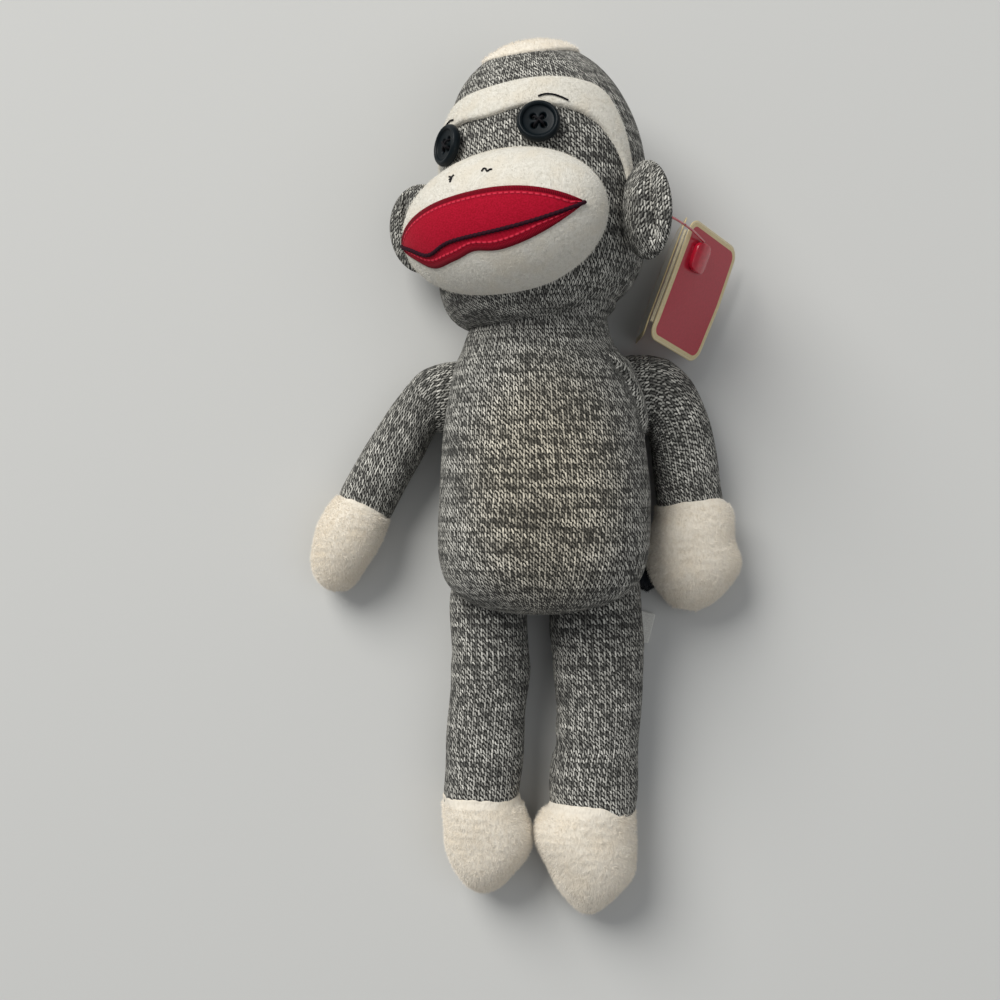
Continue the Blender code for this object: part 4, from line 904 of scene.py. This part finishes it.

# %% [markdown]
# ## Lips
# The lips are felt, edged with satin stitch, with a running stitch just inside, painted brighter as
# the highlight along its ridge. Those stitches are colour and a low relief that follow the distance
# from the lip's edge.

# %% Felt lips
def felt_finish():
    """v is the distance from the outer edge in mm: satin stitch, a bright line, then felt."""
    finish = Finish("lip_felt")
    u, v, _ = finish.split(finish.pattern())
    grain = finish.noise(finish.place(), 2600.0, 3.0)
    felt = finish.mix(finish.step(grain, 0.35, 0.65), (0.30, 0.002, 0.014), (0.40, 0.004, 0.024))
    strands = (u * 16.0 + v * 3.0).math("SINE") * 0.5 + 0.5
    satin = finish.mix(strands, (0.10, 0.000, 0.006), (0.26, 0.001, 0.013))
    dashes = (u * 4.2).math("SINE") * 0.5 + 0.5
    # Painted highlight: the running stitch's dashes are painted much brighter than the felt,
    # standing in for the light caught on the ridge at the satin edge's inner side.
    line = finish.mix(finish.step(dashes, 0.05, 0.5), (0.30, 0.004, 0.018), (0.58, 0.03, 0.06))
    inside = finish.step(v, 1.45, 1.60)
    stitch_highlight_mask = finish.step(v, 1.75, 1.90) - finish.step(v, 2.25, 2.40)
    colour = finish.mix(inside, satin, felt)
    colour = finish.mix(stitch_highlight_mask, colour, line)
    finish.set(Base_Color=colour, Roughness=0.85, Sheen_Weight=0.03, Specular_IOR_Level=0.12)
    finish.bump(grain * 0.3 + strands * (1 - inside) * 0.7 + stitch_highlight_mask * dashes, 0.2 * MM, 0.8)
    return finish.material


LIP_FELT = felt_finish()
# The lips stop just short of the mouth's corners
LIP_HALF = MOUTH_HALF * 0.985


def lip(name, outer, inner, node):
    """Sections across the lip from its outer edge to the mouth. The satin edge is a low round
    ridge, the running stitch a thinner one, and the underside is sunk in the plush."""
    x = np.sin(np.linspace(-math.pi / 2, math.pi / 2, 150)) * LIP_HALF
    top, bottom = outer(x), inner(x)
    wide = np.abs(top - bottom)
    share = np.linspace(0, 1, 34)
    far = wide[:, None] * share[None, :]
    fit = np.clip(wide / (3.2 * MM), 0.15, 1)[:, None]
    edge = 0.62 * MM * np.sqrt(np.clip(1 - ((far / fit - 0.75 * MM) / (0.75 * MM)) ** 2, 0, 1))
    line = 0.22 * MM * np.exp(-((far / fit - 2.05 * MM) / (0.28 * MM)) ** 2)
    felt = 0.34 * MM * np.clip(far / fit / (1.3 * MM), 0, 1)
    rise = np.maximum(edge, felt) + line
    y = top[:, None] + (bottom - top)[:, None] * share[None, :]
    across = np.broadcast_to(x[:, None], y.shape)
    front = muzzle_point(across, y, rise)
    back = muzzle_point(across[:, ::-1], y[:, ::-1], np.full(y.shape, -0.5 * MM))
    grid = np.concatenate([front, back], 1)
    length = np.concatenate([[0], np.cumsum(np.hypot(np.diff(x), np.diff(top)))]) / MM
    depth = np.concatenate([far / fit, far[:, ::-1], far[:, :1]], 1) / MM
    pattern = np.stack(np.broadcast_arrays(length[:, None], depth), -1)
    dress(build(name, to_world(grid), LIP_FELT, pattern), "head", [node])


lip("upper_lip_felt", upper_edge, lambda x: mouth_middle(x) + 0.1 * MM, "upper_lip")
lip("lower_lip_felt", lower_edge, lambda x: mouth_middle(x) - 0.1 * MM, "lower_lip")
print("the lips are", round(LIP_HALF * 2 / MM, 1), "mm wide")

# %% [markdown]
# ## Cords and threads
# Every cord and thread is a thin tube round a path, with a section that turns as it goes. The
# mouth's cord lies between the lips, and the neck's thread follows the ring that it draws in.

# %% Twisted cords
def cord_grid(path, radius, pitch, depth, strands=2, columns=16):
    """A tube round a path. Its section is a circle that swells strands times as it goes round and
    turns once in every pitch, which reads as twisted yarn."""
    along = unit(np.gradient(path, axis=0))
    side = unit(np.cross(along, [0.123, 0.2, 0.97]))
    up = np.cross(side, along)
    length = np.concatenate([[0], np.cumsum(steps_of(path))])[:, None]
    angle = around(columns)[None, :]
    twist = 2 * math.pi * length / pitch
    swell = radius * (1 - depth + depth * np.abs(np.cos((angle - twist) * strands / 2)))
    return (path[:, None] + side[:, None] * (swell * np.cos(angle))[..., None]
            + up[:, None] * (swell * np.sin(angle))[..., None])


def thread(name, path, radius, body, nodes, finish=THREAD, slot="black_thread", pitch=1.9 * MM,
           depth=0.22):
    """A cord as a piece. Without a body, it is attached to none."""
    made = build(name, cord_grid(np.asarray(path, float), radius, pitch, depth), finish)
    dress(made, body, nodes)
    return made


x = np.linspace(-1, 1, 240) * MOUTH_HALF
mouth = to_world(muzzle_point(x, mouth_middle(x), np.full(x.shape, 0.45 * MM)))
thread("mouth_cord", mouth, 0.58 * MM, "head", ["mouth_line"], MOUTH_YARN,
       pitch=2.6 * MM, depth=0.35)
print("the mouth's cord is", round(steps_of(mouth).sum() / MM, 1), "mm long")

tucked = neck_grid[np.argmin(np.abs(neck_grid[:, 0, 1] - THREAD_Y))]
tucked = tucked + (tucked.mean(0) - tucked) * 0.02
ring = np.concatenate([tucked, tucked[:1]])
thread("neck_gather_thread", ring, 0.30 * MM, "neck_gather", ["neck_thread"], GATHER_YARN)

# %% [markdown]
# ## Brow band and crown
# A strip of plush crosses the brow and comes down in front of each ear, and a round cap of it
# covers the crown. Both are thin cushions that follow the egg.

# %% Brow band and crown patch
def layer_rise(share, thickness):
    """Height over the knit: zero at the edges, thickness in between, with a round shoulder."""
    return thickness * (1 - np.abs(2 * share - 1) ** 6) ** 0.5


def mirrored(half):
    """A line over the face, from its doll's-left half: angle from the middle and height in mm."""
    return [(-angle, y) for angle, y in half] + half[-2::-1]


BAND_TOP = mirrored([(88, -4), (84, 2), (79, 11.4), (71, 19), (53, 21.8), (28, 22.6), (0, 22.4)])
BAND_LOW = mirrored([(83, -6.5), (80, -3), (72, 3.2), (61, 8.8), (46, 12.2), (24, 13.9), (0, 12.9)])
top, low = smooth(BAND_TOP, 150), smooth(BAND_LOW, 150)
share = np.linspace(0, 1, 26)[None, :]
angle = np.radians(top[:, :1] + (low[:, :1] - top[:, :1]) * share)
y = (top[:, 1:] + (low[:, 1:] - top[:, 1:]) * share) * MM
front = on_head(angle, y, layer_rise(share, 1.5 * MM) + 0.15 * MM)
back = on_head(angle[:, ::-1], y[:, ::-1], -0.8 * MM + 0 * y)
band_grid = to_world(np.concatenate([front, back], 1))
plush_piece("brow_plush", press_flat(band_grid), "white_plush", "head", "brow_band", 8000)


def on_crown(angle, y, rise):
    """A point of the egg above its widest ring, raised by rise along the egg's own normal."""
    spot = on_head(angle, y, 0.0)
    normal = unit(spot / np.array([HEAD_RADIUS, CROWN_HEIGHT, HEAD_RADIUS]) ** 2)
    return spot + rise[..., None] * normal


# The cap's edge is where the egg leaves a ball round a point near the crown
CAP_CENTRE = np.array([1.0, 39.0, 4.5]) * MM
CAP_RADIUS = 13.8 * MM
angle = around(120)[None, :]
down = np.linspace(CROWN_HEIGHT, CROWN_HEIGHT / 2, 400)[:, None]
far = np.linalg.norm(on_head(angle + 0 * down, down + 0 * angle, 0.0) - CAP_CENTRE, axis=-1)
edge = down[np.argmax(far > CAP_RADIUS, axis=0), 0][None, :]
share = np.linspace(0.02, 1, 40)[:, None]
crown = np.arccos(np.clip(edge / CROWN_HEIGHT, -1, 1)) * share
y = CROWN_HEIGHT * np.cos(crown)
front = on_crown(angle + 0 * y, y, 0.8 * MM * (1 - share ** 8) ** 0.5 + 0.45 * MM + 0 * y)
back = on_crown(angle + 0 * y, y, -0.8 * MM + 0 * y)[::-1]
crown_grid = bulged(to_world(np.concatenate([front, back], 0)), *TEMPLE)
plush_piece("crown_plush", press_flat(crown_grid), "cream_plush", "head", "crown_patch", 4000)
print("the cap reaches", np.round((CROWN_HEIGHT - edge.min()) / MM, 1), "mm down the egg")

# %% [markdown]
# ## Eyes
# The eyes are four-hole resin buttons: a raised rim round a dished middle, sewn on with crossed
# thread. The button is a profile turned on its axis, with four pits pressed into the grid.

# %% Buttons
def head_spot(x, y, rise):
    """A point of the egg's face at x and y, with two tangents and the outward normal there."""
    middle = jaw_lean(y)
    radius = float(egg_radius(y))
    step = 0.3 * MM
    slope = (float(egg_radius(y + step)) - float(egg_radius(y - step))) / (2 * step)
    forward = math.sqrt(max(radius ** 2 - (x - middle[0]) ** 2, 0))
    normal = unit(np.array([(x - middle[0]) / radius, -slope, forward / radius]))
    side = unit(np.cross([0, 1.0, 0], normal))
    spot = np.array([x, y, forward + middle[2]]) + normal * rise
    return spot, side, np.cross(normal, side), normal


EYE_X, EYE_Y = 13.1 * MM, 7.9 * MM
PIT_PLACES = np.array([(1.3, 1.3), (-1.3, 1.3), (-1.3, -1.3), (1.3, -1.3)])
PIT_DEPTH, PIT_RADIUS = 1.3, 0.72
# Radius and height in mm, from the middle of the face over the rim to the middle of the back
BUTTON_PROFILE = smooth([
    (0.05, 1.75), (1.6, 1.72), (3, 1.78), (4.05, 1.95), (4.4, 2.45), (4.9, 2.72), (5.4, 2.45),
    (5.75, 1.6), (5.6, 0.7), (5.0, 0.25), (3.0, 0.0), (0.05, 0.0)], 110)
angle = around(96)
x, y = BUTTON_PROFILE[:, :1] * np.cos(angle), BUTTON_PROFILE[:, :1] * np.sin(angle)
z = BUTTON_PROFILE[:, 1:] + 0 * x
upper = (np.arange(len(BUTTON_PROFILE)) < 45)[:, None]
for pit_x, pit_y in PIT_PLACES:
    near = np.hypot(x - pit_x, y - pit_y)
    z = z - upper * PIT_DEPTH / (1 + np.exp((near - PIT_RADIUS) / 0.07))
button_flat = np.stack([x, y, z], -1) * MM

for sign, side_name in ((1, "left"), (-1, "right")):
    spot, *axes = head_spot(sign * EYE_X, EYE_Y, 1.0 * MM)
    button = build(f"{side_name}_button", to_world(spot + button_flat @ np.array(axes)), BUTTON)
    dress(button, "head", [f"{side_name}_eye_button"])
    strands = [("eye_strand", [f"{side_name}_eye_thread"]), ("eye_strand_over", [])]
    for first, (name, node) in enumerate(strands):
        a, b = PIT_PLACES[first], PIT_PLACES[first + 2]
        t = np.linspace(0, 1, 40)[:, None]
        high = 0.9 + 1.45 * (1 - np.abs(2 * t - 1) ** 6) + 0.25 * first
        path = spot + np.concatenate([a + (b - a) * t, high], 1) * MM @ np.array(axes)
        thread(f"{side_name}_{name}", to_world(path), 0.33 * MM, "head", node)
print("buttons are", round(BUTTON_PROFILE[:, 0].max() * 2, 2), "mm across")

# %% [markdown]
# ## Nostrils and eyebrows
# These are single stitches of thread. Each is a curve in mm on the face, laid on the muzzle or on
# the brow band.

# %% Stitches on the face
EYEBROW = [(12.6, 15.3), (14.2, 15.7), (15.8, 15.4), (17.4, 14.6), (18.8, 13.6)]
STITCHES = {
    "left_nostril": [(4.3, -5.9), (4.7, -5.2), (5.3, -5.4), (5.9, -6.2), (6.6, -5.9), (7.2, -5.9)],
    "right_nostril": [(-6.3, -4.7), (-5.7, -5.0), (-5.2, -5.6), (-5.4, -6.6)],
    "right_nostril_cross": [(-5.9, -5.9), (-5.3, -5.2), (-4.7, -4.6)],
    "left_eyebrow": EYEBROW,
    "right_eyebrow": [(-x, y) for x, y in EYEBROW],
}
for name, points in STITCHES.items():
    path = smooth(points, 40) * MM
    if "nostril" in name:
        path = muzzle_point(path[:, 0], path[:, 1], np.full(40, 0.15 * MM))
    else:
        path = np.array([head_spot(x, y, 1.75 * MM)[0] for x, y in path])
    node = [] if name.endswith("cross") else [f"{name}_stitch"]
    thread(f"{name}_thread", to_world(path), 0.26 * MM, "head", node)
print("stitches:", *STITCHES)

# %% [markdown]
# ## Ears
# Each ear is a round knit pad with a crease up its front. The left one has the tag's tack through
# it, and the tack's bar is buried in the rib beside the crease.

# %% Ears
EAR_HALF = (10.4, 13.2, 3.5)
# How far the pad's middle is from its seam, and how far out of the head's side it is turned
EAR_MIDDLE = 10.0
EAR_FORWARD = 27.0
EAR_SUNK = 1.2 * MM
CREASE_X, RIB_X = 15.6, 11.5


def ear(side_name, sign, height):
    """Rows run from the middle of the front over the rim to the middle of the back: distance out
    is sin of the row's angle and thickness is cos of it. The pad is folded along: a crease runs
    up its front, and the filling makes a rib beside it."""
    over = np.linspace(0.03, math.pi - 0.03, 60)[:, None]
    angle = around(90)[None, :]
    x = EAR_MIDDLE + EAR_HALF[0] * np.sin(over) * np.cos(angle)
    y = EAR_HALF[1] * np.sin(over) * np.sin(angle) * (1 + 0.05 * np.cos(angle))
    z = EAR_HALF[2] * np.cos(over) + 0 * angle
    bent = x + 0.012 * y ** 2
    crease = 2.4 * np.exp(-((bent - CREASE_X) / 0.75) ** 2) * np.clip(1.6 - np.abs(y) / 7, 0, 1)
    rib = 2.4 * np.exp(-((bent - RIB_X) / 3.1) ** 4) * np.exp(-((y + 1.5) / 9.0) ** 4)
    grid = np.stack([x, y, z + (rib - crease) * (np.cos(over) > 0)], -1) * MM
    forward = math.radians(EAR_FORWARD)
    out = np.array([sign * math.cos(forward), 0, math.sin(forward)])
    along = np.array([0, 1.0, 0])
    face = np.cross(out, along) * sign
    root = np.array([sign * (float(egg_radius(height)) - EAR_SUNK), height, 0]) + jaw_lean(height)
    grid = root + grid[..., :1] * out + grid[..., 1:2] * along + grid[..., 2:] * face
    steps = steps_of(grid)
    far = np.concatenate([0 * steps[:1], np.cumsum(steps, axis=0)])
    pattern = np.stack([far * np.cos(angle) / STITCH_WIDE, far * np.sin(angle) / STITCH_TALL], -1)
    pattern = np.concatenate([pattern, pattern[:, :1]], 1)
    made = build(f"{side_name}_ear_skin", to_world(grid), KNIT, pattern, yarn=True)
    dress(made, f"{side_name}_ear", [f"{side_name}_ear"])
    print(side_name, "ear is sewn on at", np.round(to_world(root) / MM, 1), "mm")


ear("left", 1, -16.1 * MM)
ear("right", -1, -6.0 * MM)

# %% [markdown]
# ## Tail
# The tail comes out beside the seat, and its end is a dark tuft.

# %% Tail
TAIL = [
    (15.5, -11.5, 23.5, -9.5, 4, 4), (18, -18, 26.5, -16, 4.1, 4),
    (22, -24, 30, -21, 4.1, 4), (25.5, -27.5, 32, -23.5, 3.9, 3.9),
]
TAIL_TIP = [
    (25, -27, 31.6, -23, 3.6, 3.9), (26.4, -28.8, 33.6, -24.4, 4.4, 4.2),
    (28.4, -31.2, 35.4, -27, 4.2, 4.1), (31.2, -33, 35, -30.6, 2.4, 3.4),
]
knit_piece("tail_skin", press_flat(rings(TAIL, 40, 40)), 18, "tail", "tail")
tip_grid = press_flat(puffed(rings(TAIL_TIP, 40, 48), 0.7 * MM, 0.006, 5))
plush_piece("tail_tuft", tip_grid, "black_plush", "tail", "tail_tip", 2500)
print("tail tuft spans", np.round(np.ptp(tip_grid.reshape(-1, 3), axis=0) / MM, 1), "mm")

# %% [markdown]
# ## Sewn label
# The label, the tag's leaves and the tack's paddle are flat pieces: an outline that shrinks to
# its middle on both faces. The label is a folded tape.

# %% Flat pieces, and the label
def plate(name, outline, thickness, place, finish, bow_height=0.0, bow_along=0):
    """A flat piece with a rounded rim: rows go from the middle of the face over the edge to the
    middle of the back. outline is a closed loop of points, and place carries them to the world."""
    inner = np.linspace(0.02, 0.97, 14)
    share = np.concatenate([inner, [0.99, 1.0, 1.0, 0.99], inner[::-1]])
    half = np.full(14, 0.5)
    lift = np.concatenate([half, [0.45, 0.2, -0.2, -0.45], -half]) * thickness
    middle = outline.mean(0)
    flat = middle + (outline - middle)[None] * share[:, None, None]
    off = (flat[..., bow_along] - middle[bow_along]) / (np.ptp(outline[:, bow_along]) / 2)
    bend = bow_height * (1 - off ** 2)
    grid = np.concatenate([flat, (lift[:, None] + bend)[..., None]], -1)
    return build(name, place(grid), finish, np.concatenate([flat, flat[:, :1]], 1) / MM)


def rounded_outline(width, length, corner):
    """A rectangle from 0 to width and 0 to -length whose corners are arcs."""
    angle = around(120)
    x = np.sign(np.cos(angle)) * (width / 2 - corner) + corner * np.cos(angle)
    y = np.sign(np.sin(angle)) * (length / 2 - corner) + corner * np.sin(angle)
    return np.stack([x + width / 2, y - length / 2], -1)


def label_place(grid):
    """The tape curls up a little towards its free end, and is turned to lie along the seat."""
    curl = grid.copy()
    curl[..., 2] += LABEL_CURL * (grid[..., 0] / LABEL_LONG) ** 2
    return curl @ turn(2, LABEL_TURN).T + LABEL_ROOT


LABEL_LONG, LABEL_WIDE, LABEL_CURL = 11 * MM, 9 * MM, 0.6 * MM
LABEL_TURN, LABEL_ROOT = -14.0, np.array([0.0236, -0.0372, 0.0009])
label_edge = rounded_outline(LABEL_LONG, LABEL_WIDE, 0.5 * MM)
label = plate("label_tape", label_edge, 0.5 * MM, label_place, TAPE)
dress(label, "sewn_label", ["sewn_label"])
print("label", LABEL_LONG / MM, "by", LABEL_WIDE / MM, "mm")

# %% [markdown]
# ## Swing tag
# The tag is a folded card that stands like a tent: a pale back leaf on edge and a red front leaf
# that slopes down from the fold, with a pale gold border. Its face is left bare.

# %% Swing tag
TAG_SPINE = np.array([0.0412, 0.0744, 0.0283])
TAG_TURN = turn(2, -20.5)
TAG_WIDTH = 27.0
TAG_LENGTH = 36.0
TAG_CORNER = 4.0
BORDER = 1.65


def card_finish(name, field, gloss):
    """x and y are mm on the leaf. The border is the band along the rounded edge: the distance
    from the edge is the corner's radius less the length of what x and y go past its middle."""
    finish = Finish(name)
    x, y, _ = finish.split(finish.pattern())
    past_x = (x - TAG_WIDTH / 2).math("ABSOLUTE") - (TAG_WIDTH / 2 - TAG_CORNER)
    past_y = (y + TAG_LENGTH / 2).math("ABSOLUTE") - (TAG_LENGTH / 2 - TAG_CORNER)
    past_x, past_y = past_x.math("MAXIMUM", 0.0), past_y.math("MAXIMUM", 0.0)
    edge = TAG_CORNER - (past_x * past_x + past_y * past_y).math("SQRT")
    grain = finish.noise(finish.place(), 1400.0, 3.0)
    gold = finish.mix(grain, tinted(GOLD, 0.75, 0.72, 0.6), GOLD)
    dim = tinted(field, 0.92, 0.9, 0.9)
    inside = finish.step(edge, BORDER - 0.1, BORDER + 0.1)
    colour = finish.mix(inside, gold, finish.mix(finish.step(grain, 0.4, 0.6), dim, field))
    fine = finish.step(edge, 0.25, 0.35) - finish.step(edge, 0.5, 0.6)
    colour = finish.mix(fine * 0.35, colour, (0.9, 0.85, 0.72))
    finish.set(Base_Color=colour, Roughness=gloss + (1 - inside) * 0.12, Coat_Weight=0.25)
    finish.bump(grain, 0.015 * MM, 0.6)
    return finish.material


GOLD = (0.80, 0.66, 0.38)
RED_CARD = card_finish("tag_card_red", (0.47, 0.012, 0.035), 0.30)
PALE_CARD = card_finish("tag_card_pale", (0.78, 0.74, 0.66), 0.45)


def leaf_place(drop, lift):
    """On a leaf's own axes x runs out from the fold and y along it. It turns down by drop about
    the fold, then with the whole tag."""
    def place(grid):
        moved = grid + np.array([0.8 * MM, 0, lift])
        return moved @ (TAG_TURN @ turn(1, drop)).T + TAG_SPINE
    return place


FRONT_DROP = 50.8
# Each leaf: how far it is turned down, its lift off the fold, its finish, slot and bow
TAG_OUTLINE = rounded_outline(TAG_WIDTH * MM, TAG_LENGTH * MM, TAG_CORNER * MM)
LEAVES = {
    "tag_front": (FRONT_DROP, 0.4 * MM, RED_CARD, "red_card", 0.9 * MM),
    "tag_back": (90.0, -0.4 * MM, PALE_CARD, "white_card", -0.5 * MM),
}
for node, (drop, lift, finish, slot, bend) in LEAVES.items():
    made = plate(f"{node}_card", TAG_OUTLINE, 0.45 * MM, leaf_place(drop, lift), finish, bend, 1)
    dress(made, node, [node])


def fold_grid():
    """The fold is a strip whose section is a small arc from one leaf to the other."""
    along = np.linspace(-4.2, -31.8, 60)[:, None]
    arc = np.radians(np.concatenate([np.linspace(40, 95, 12), np.linspace(95, 40, 12)]))[None, :]
    radius = np.concatenate([np.full(12, 1.05), np.full(12, 0.60)])[None, :]
    x = radius * np.cos(arc) + 0 * along
    z = -radius * np.sin(arc) + 0 * along + 0.5
    return np.stack([x, along + 0 * arc, z], -1) * MM


fold_world = fold_grid() @ TAG_TURN.T + TAG_SPINE
FOLD = plain_finish("tag_fold", (0.74, 0.64, 0.42), 0.4, 0.0, 2500.0)
dress(build("tag_fold_card", fold_world, FOLD), "tag_back")
print("tag", TAG_WIDTH, "by", TAG_LENGTH, "mm, front leaf down by", FRONT_DROP, "degrees")

# %% [markdown]
# ## Tack
# A moulded tack holds the tag. Its bar is buried in the ear's rib and keeps its solid. Its thin
# filament runs to a glossy paddle, which lies on the front leaf.

# %% Paddle and filament
CUT_AT = 53
on_front = leaf_place(FRONT_DROP, 1.9 * MM)
paddle_outline = rounded_outline(7.0 * MM, 8.5 * MM, 2.4 * MM) + np.array([4.6 * MM, -5.0 * MM])
paddle = plate("tack_paddle_head", paddle_outline, 1.5 * MM, on_front, TACK, 0.5 * MM, 0)
dress(paddle, "tag_front", ["tack_paddle"])

# The filament leaves the ear along the tack's axis, crosses to the paddle and is cut in two where
# the tag's leaves meet.
hole = np.array([0.02855, 0.06935, 0.05439])
axis = np.array([0.8573, 0.0335, -0.5137])
end = on_front(np.array([7.8, -4.6, 0.0]) * MM)
outside = hole + axis * 5.5 * MM
slack = (outside + end) / 2 + np.array([0.0004, 0.0006, -0.0006])
filament = smooth([hole - axis * 4.0 * MM, hole + axis * 1.0 * MM, outside, slack, end], 80)
near, far = filament[:CUT_AT + 1], filament[CUT_AT:]
WIRE = {"finish": TACK, "slot": "red_plastic", "depth": 0.0}
strand = thread("tack_filament_strand", near, 0.36 * MM, None, ["tack_filament"], **WIRE)
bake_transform(strand)
strand = thread("tack_filament_end", far, 0.36 * MM, None, [], **WIRE)
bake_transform(strand)
print("filament", np.round(steps_of(filament).sum() / MM, 1), "mm")

# %% [markdown]
# ## Solids that show as they are
# The tack's bar keeps its solid. The filling and the pouch lie inside the skins, and get their own
# finishes for whoever opens the doll.

# %% Finishes for the solids that stay
STAYING = {
    "tack_bar": TACK, "torso_stuffing": FILLING, "head_stuffing": FILLING, "pellet_pouch": POUCH,
}
for node, finish in STAYING.items():
    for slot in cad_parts[node].material_slots:
        slot.material = finish
print("solids that stay:", *STAYING)

# %% [markdown]
# ## Floor
# The surface under the doll is plain and pale, a little grey as in the photograph.

# %% Floor and world
floor_finish = Finish("pale_floor")
floor_finish.set(Base_Color=(0.60, 0.60, 0.585), Roughness=0.9, Specular_IOR_Level=0.1)
corners = [(-3, -3, 0), (3, -3, 0), (3, 3, 0), (-3, 3, 0)]
floor = add_object("floor", corners, [(0, 1, 2, 3)], floor_finish.material)
floor.location = (0, 0, -0.0002)

world = bpy.data.worlds.new("room")
bpy.context.scene.world = world
world.use_nodes = True
world.node_tree.nodes["Background"].inputs["Color"].default_value = (0.95, 0.97, 1.0, 1)
world.node_tree.nodes["Background"].inputs["Strength"].default_value = 0.27
print("materials in all:", len(bpy.data.materials))
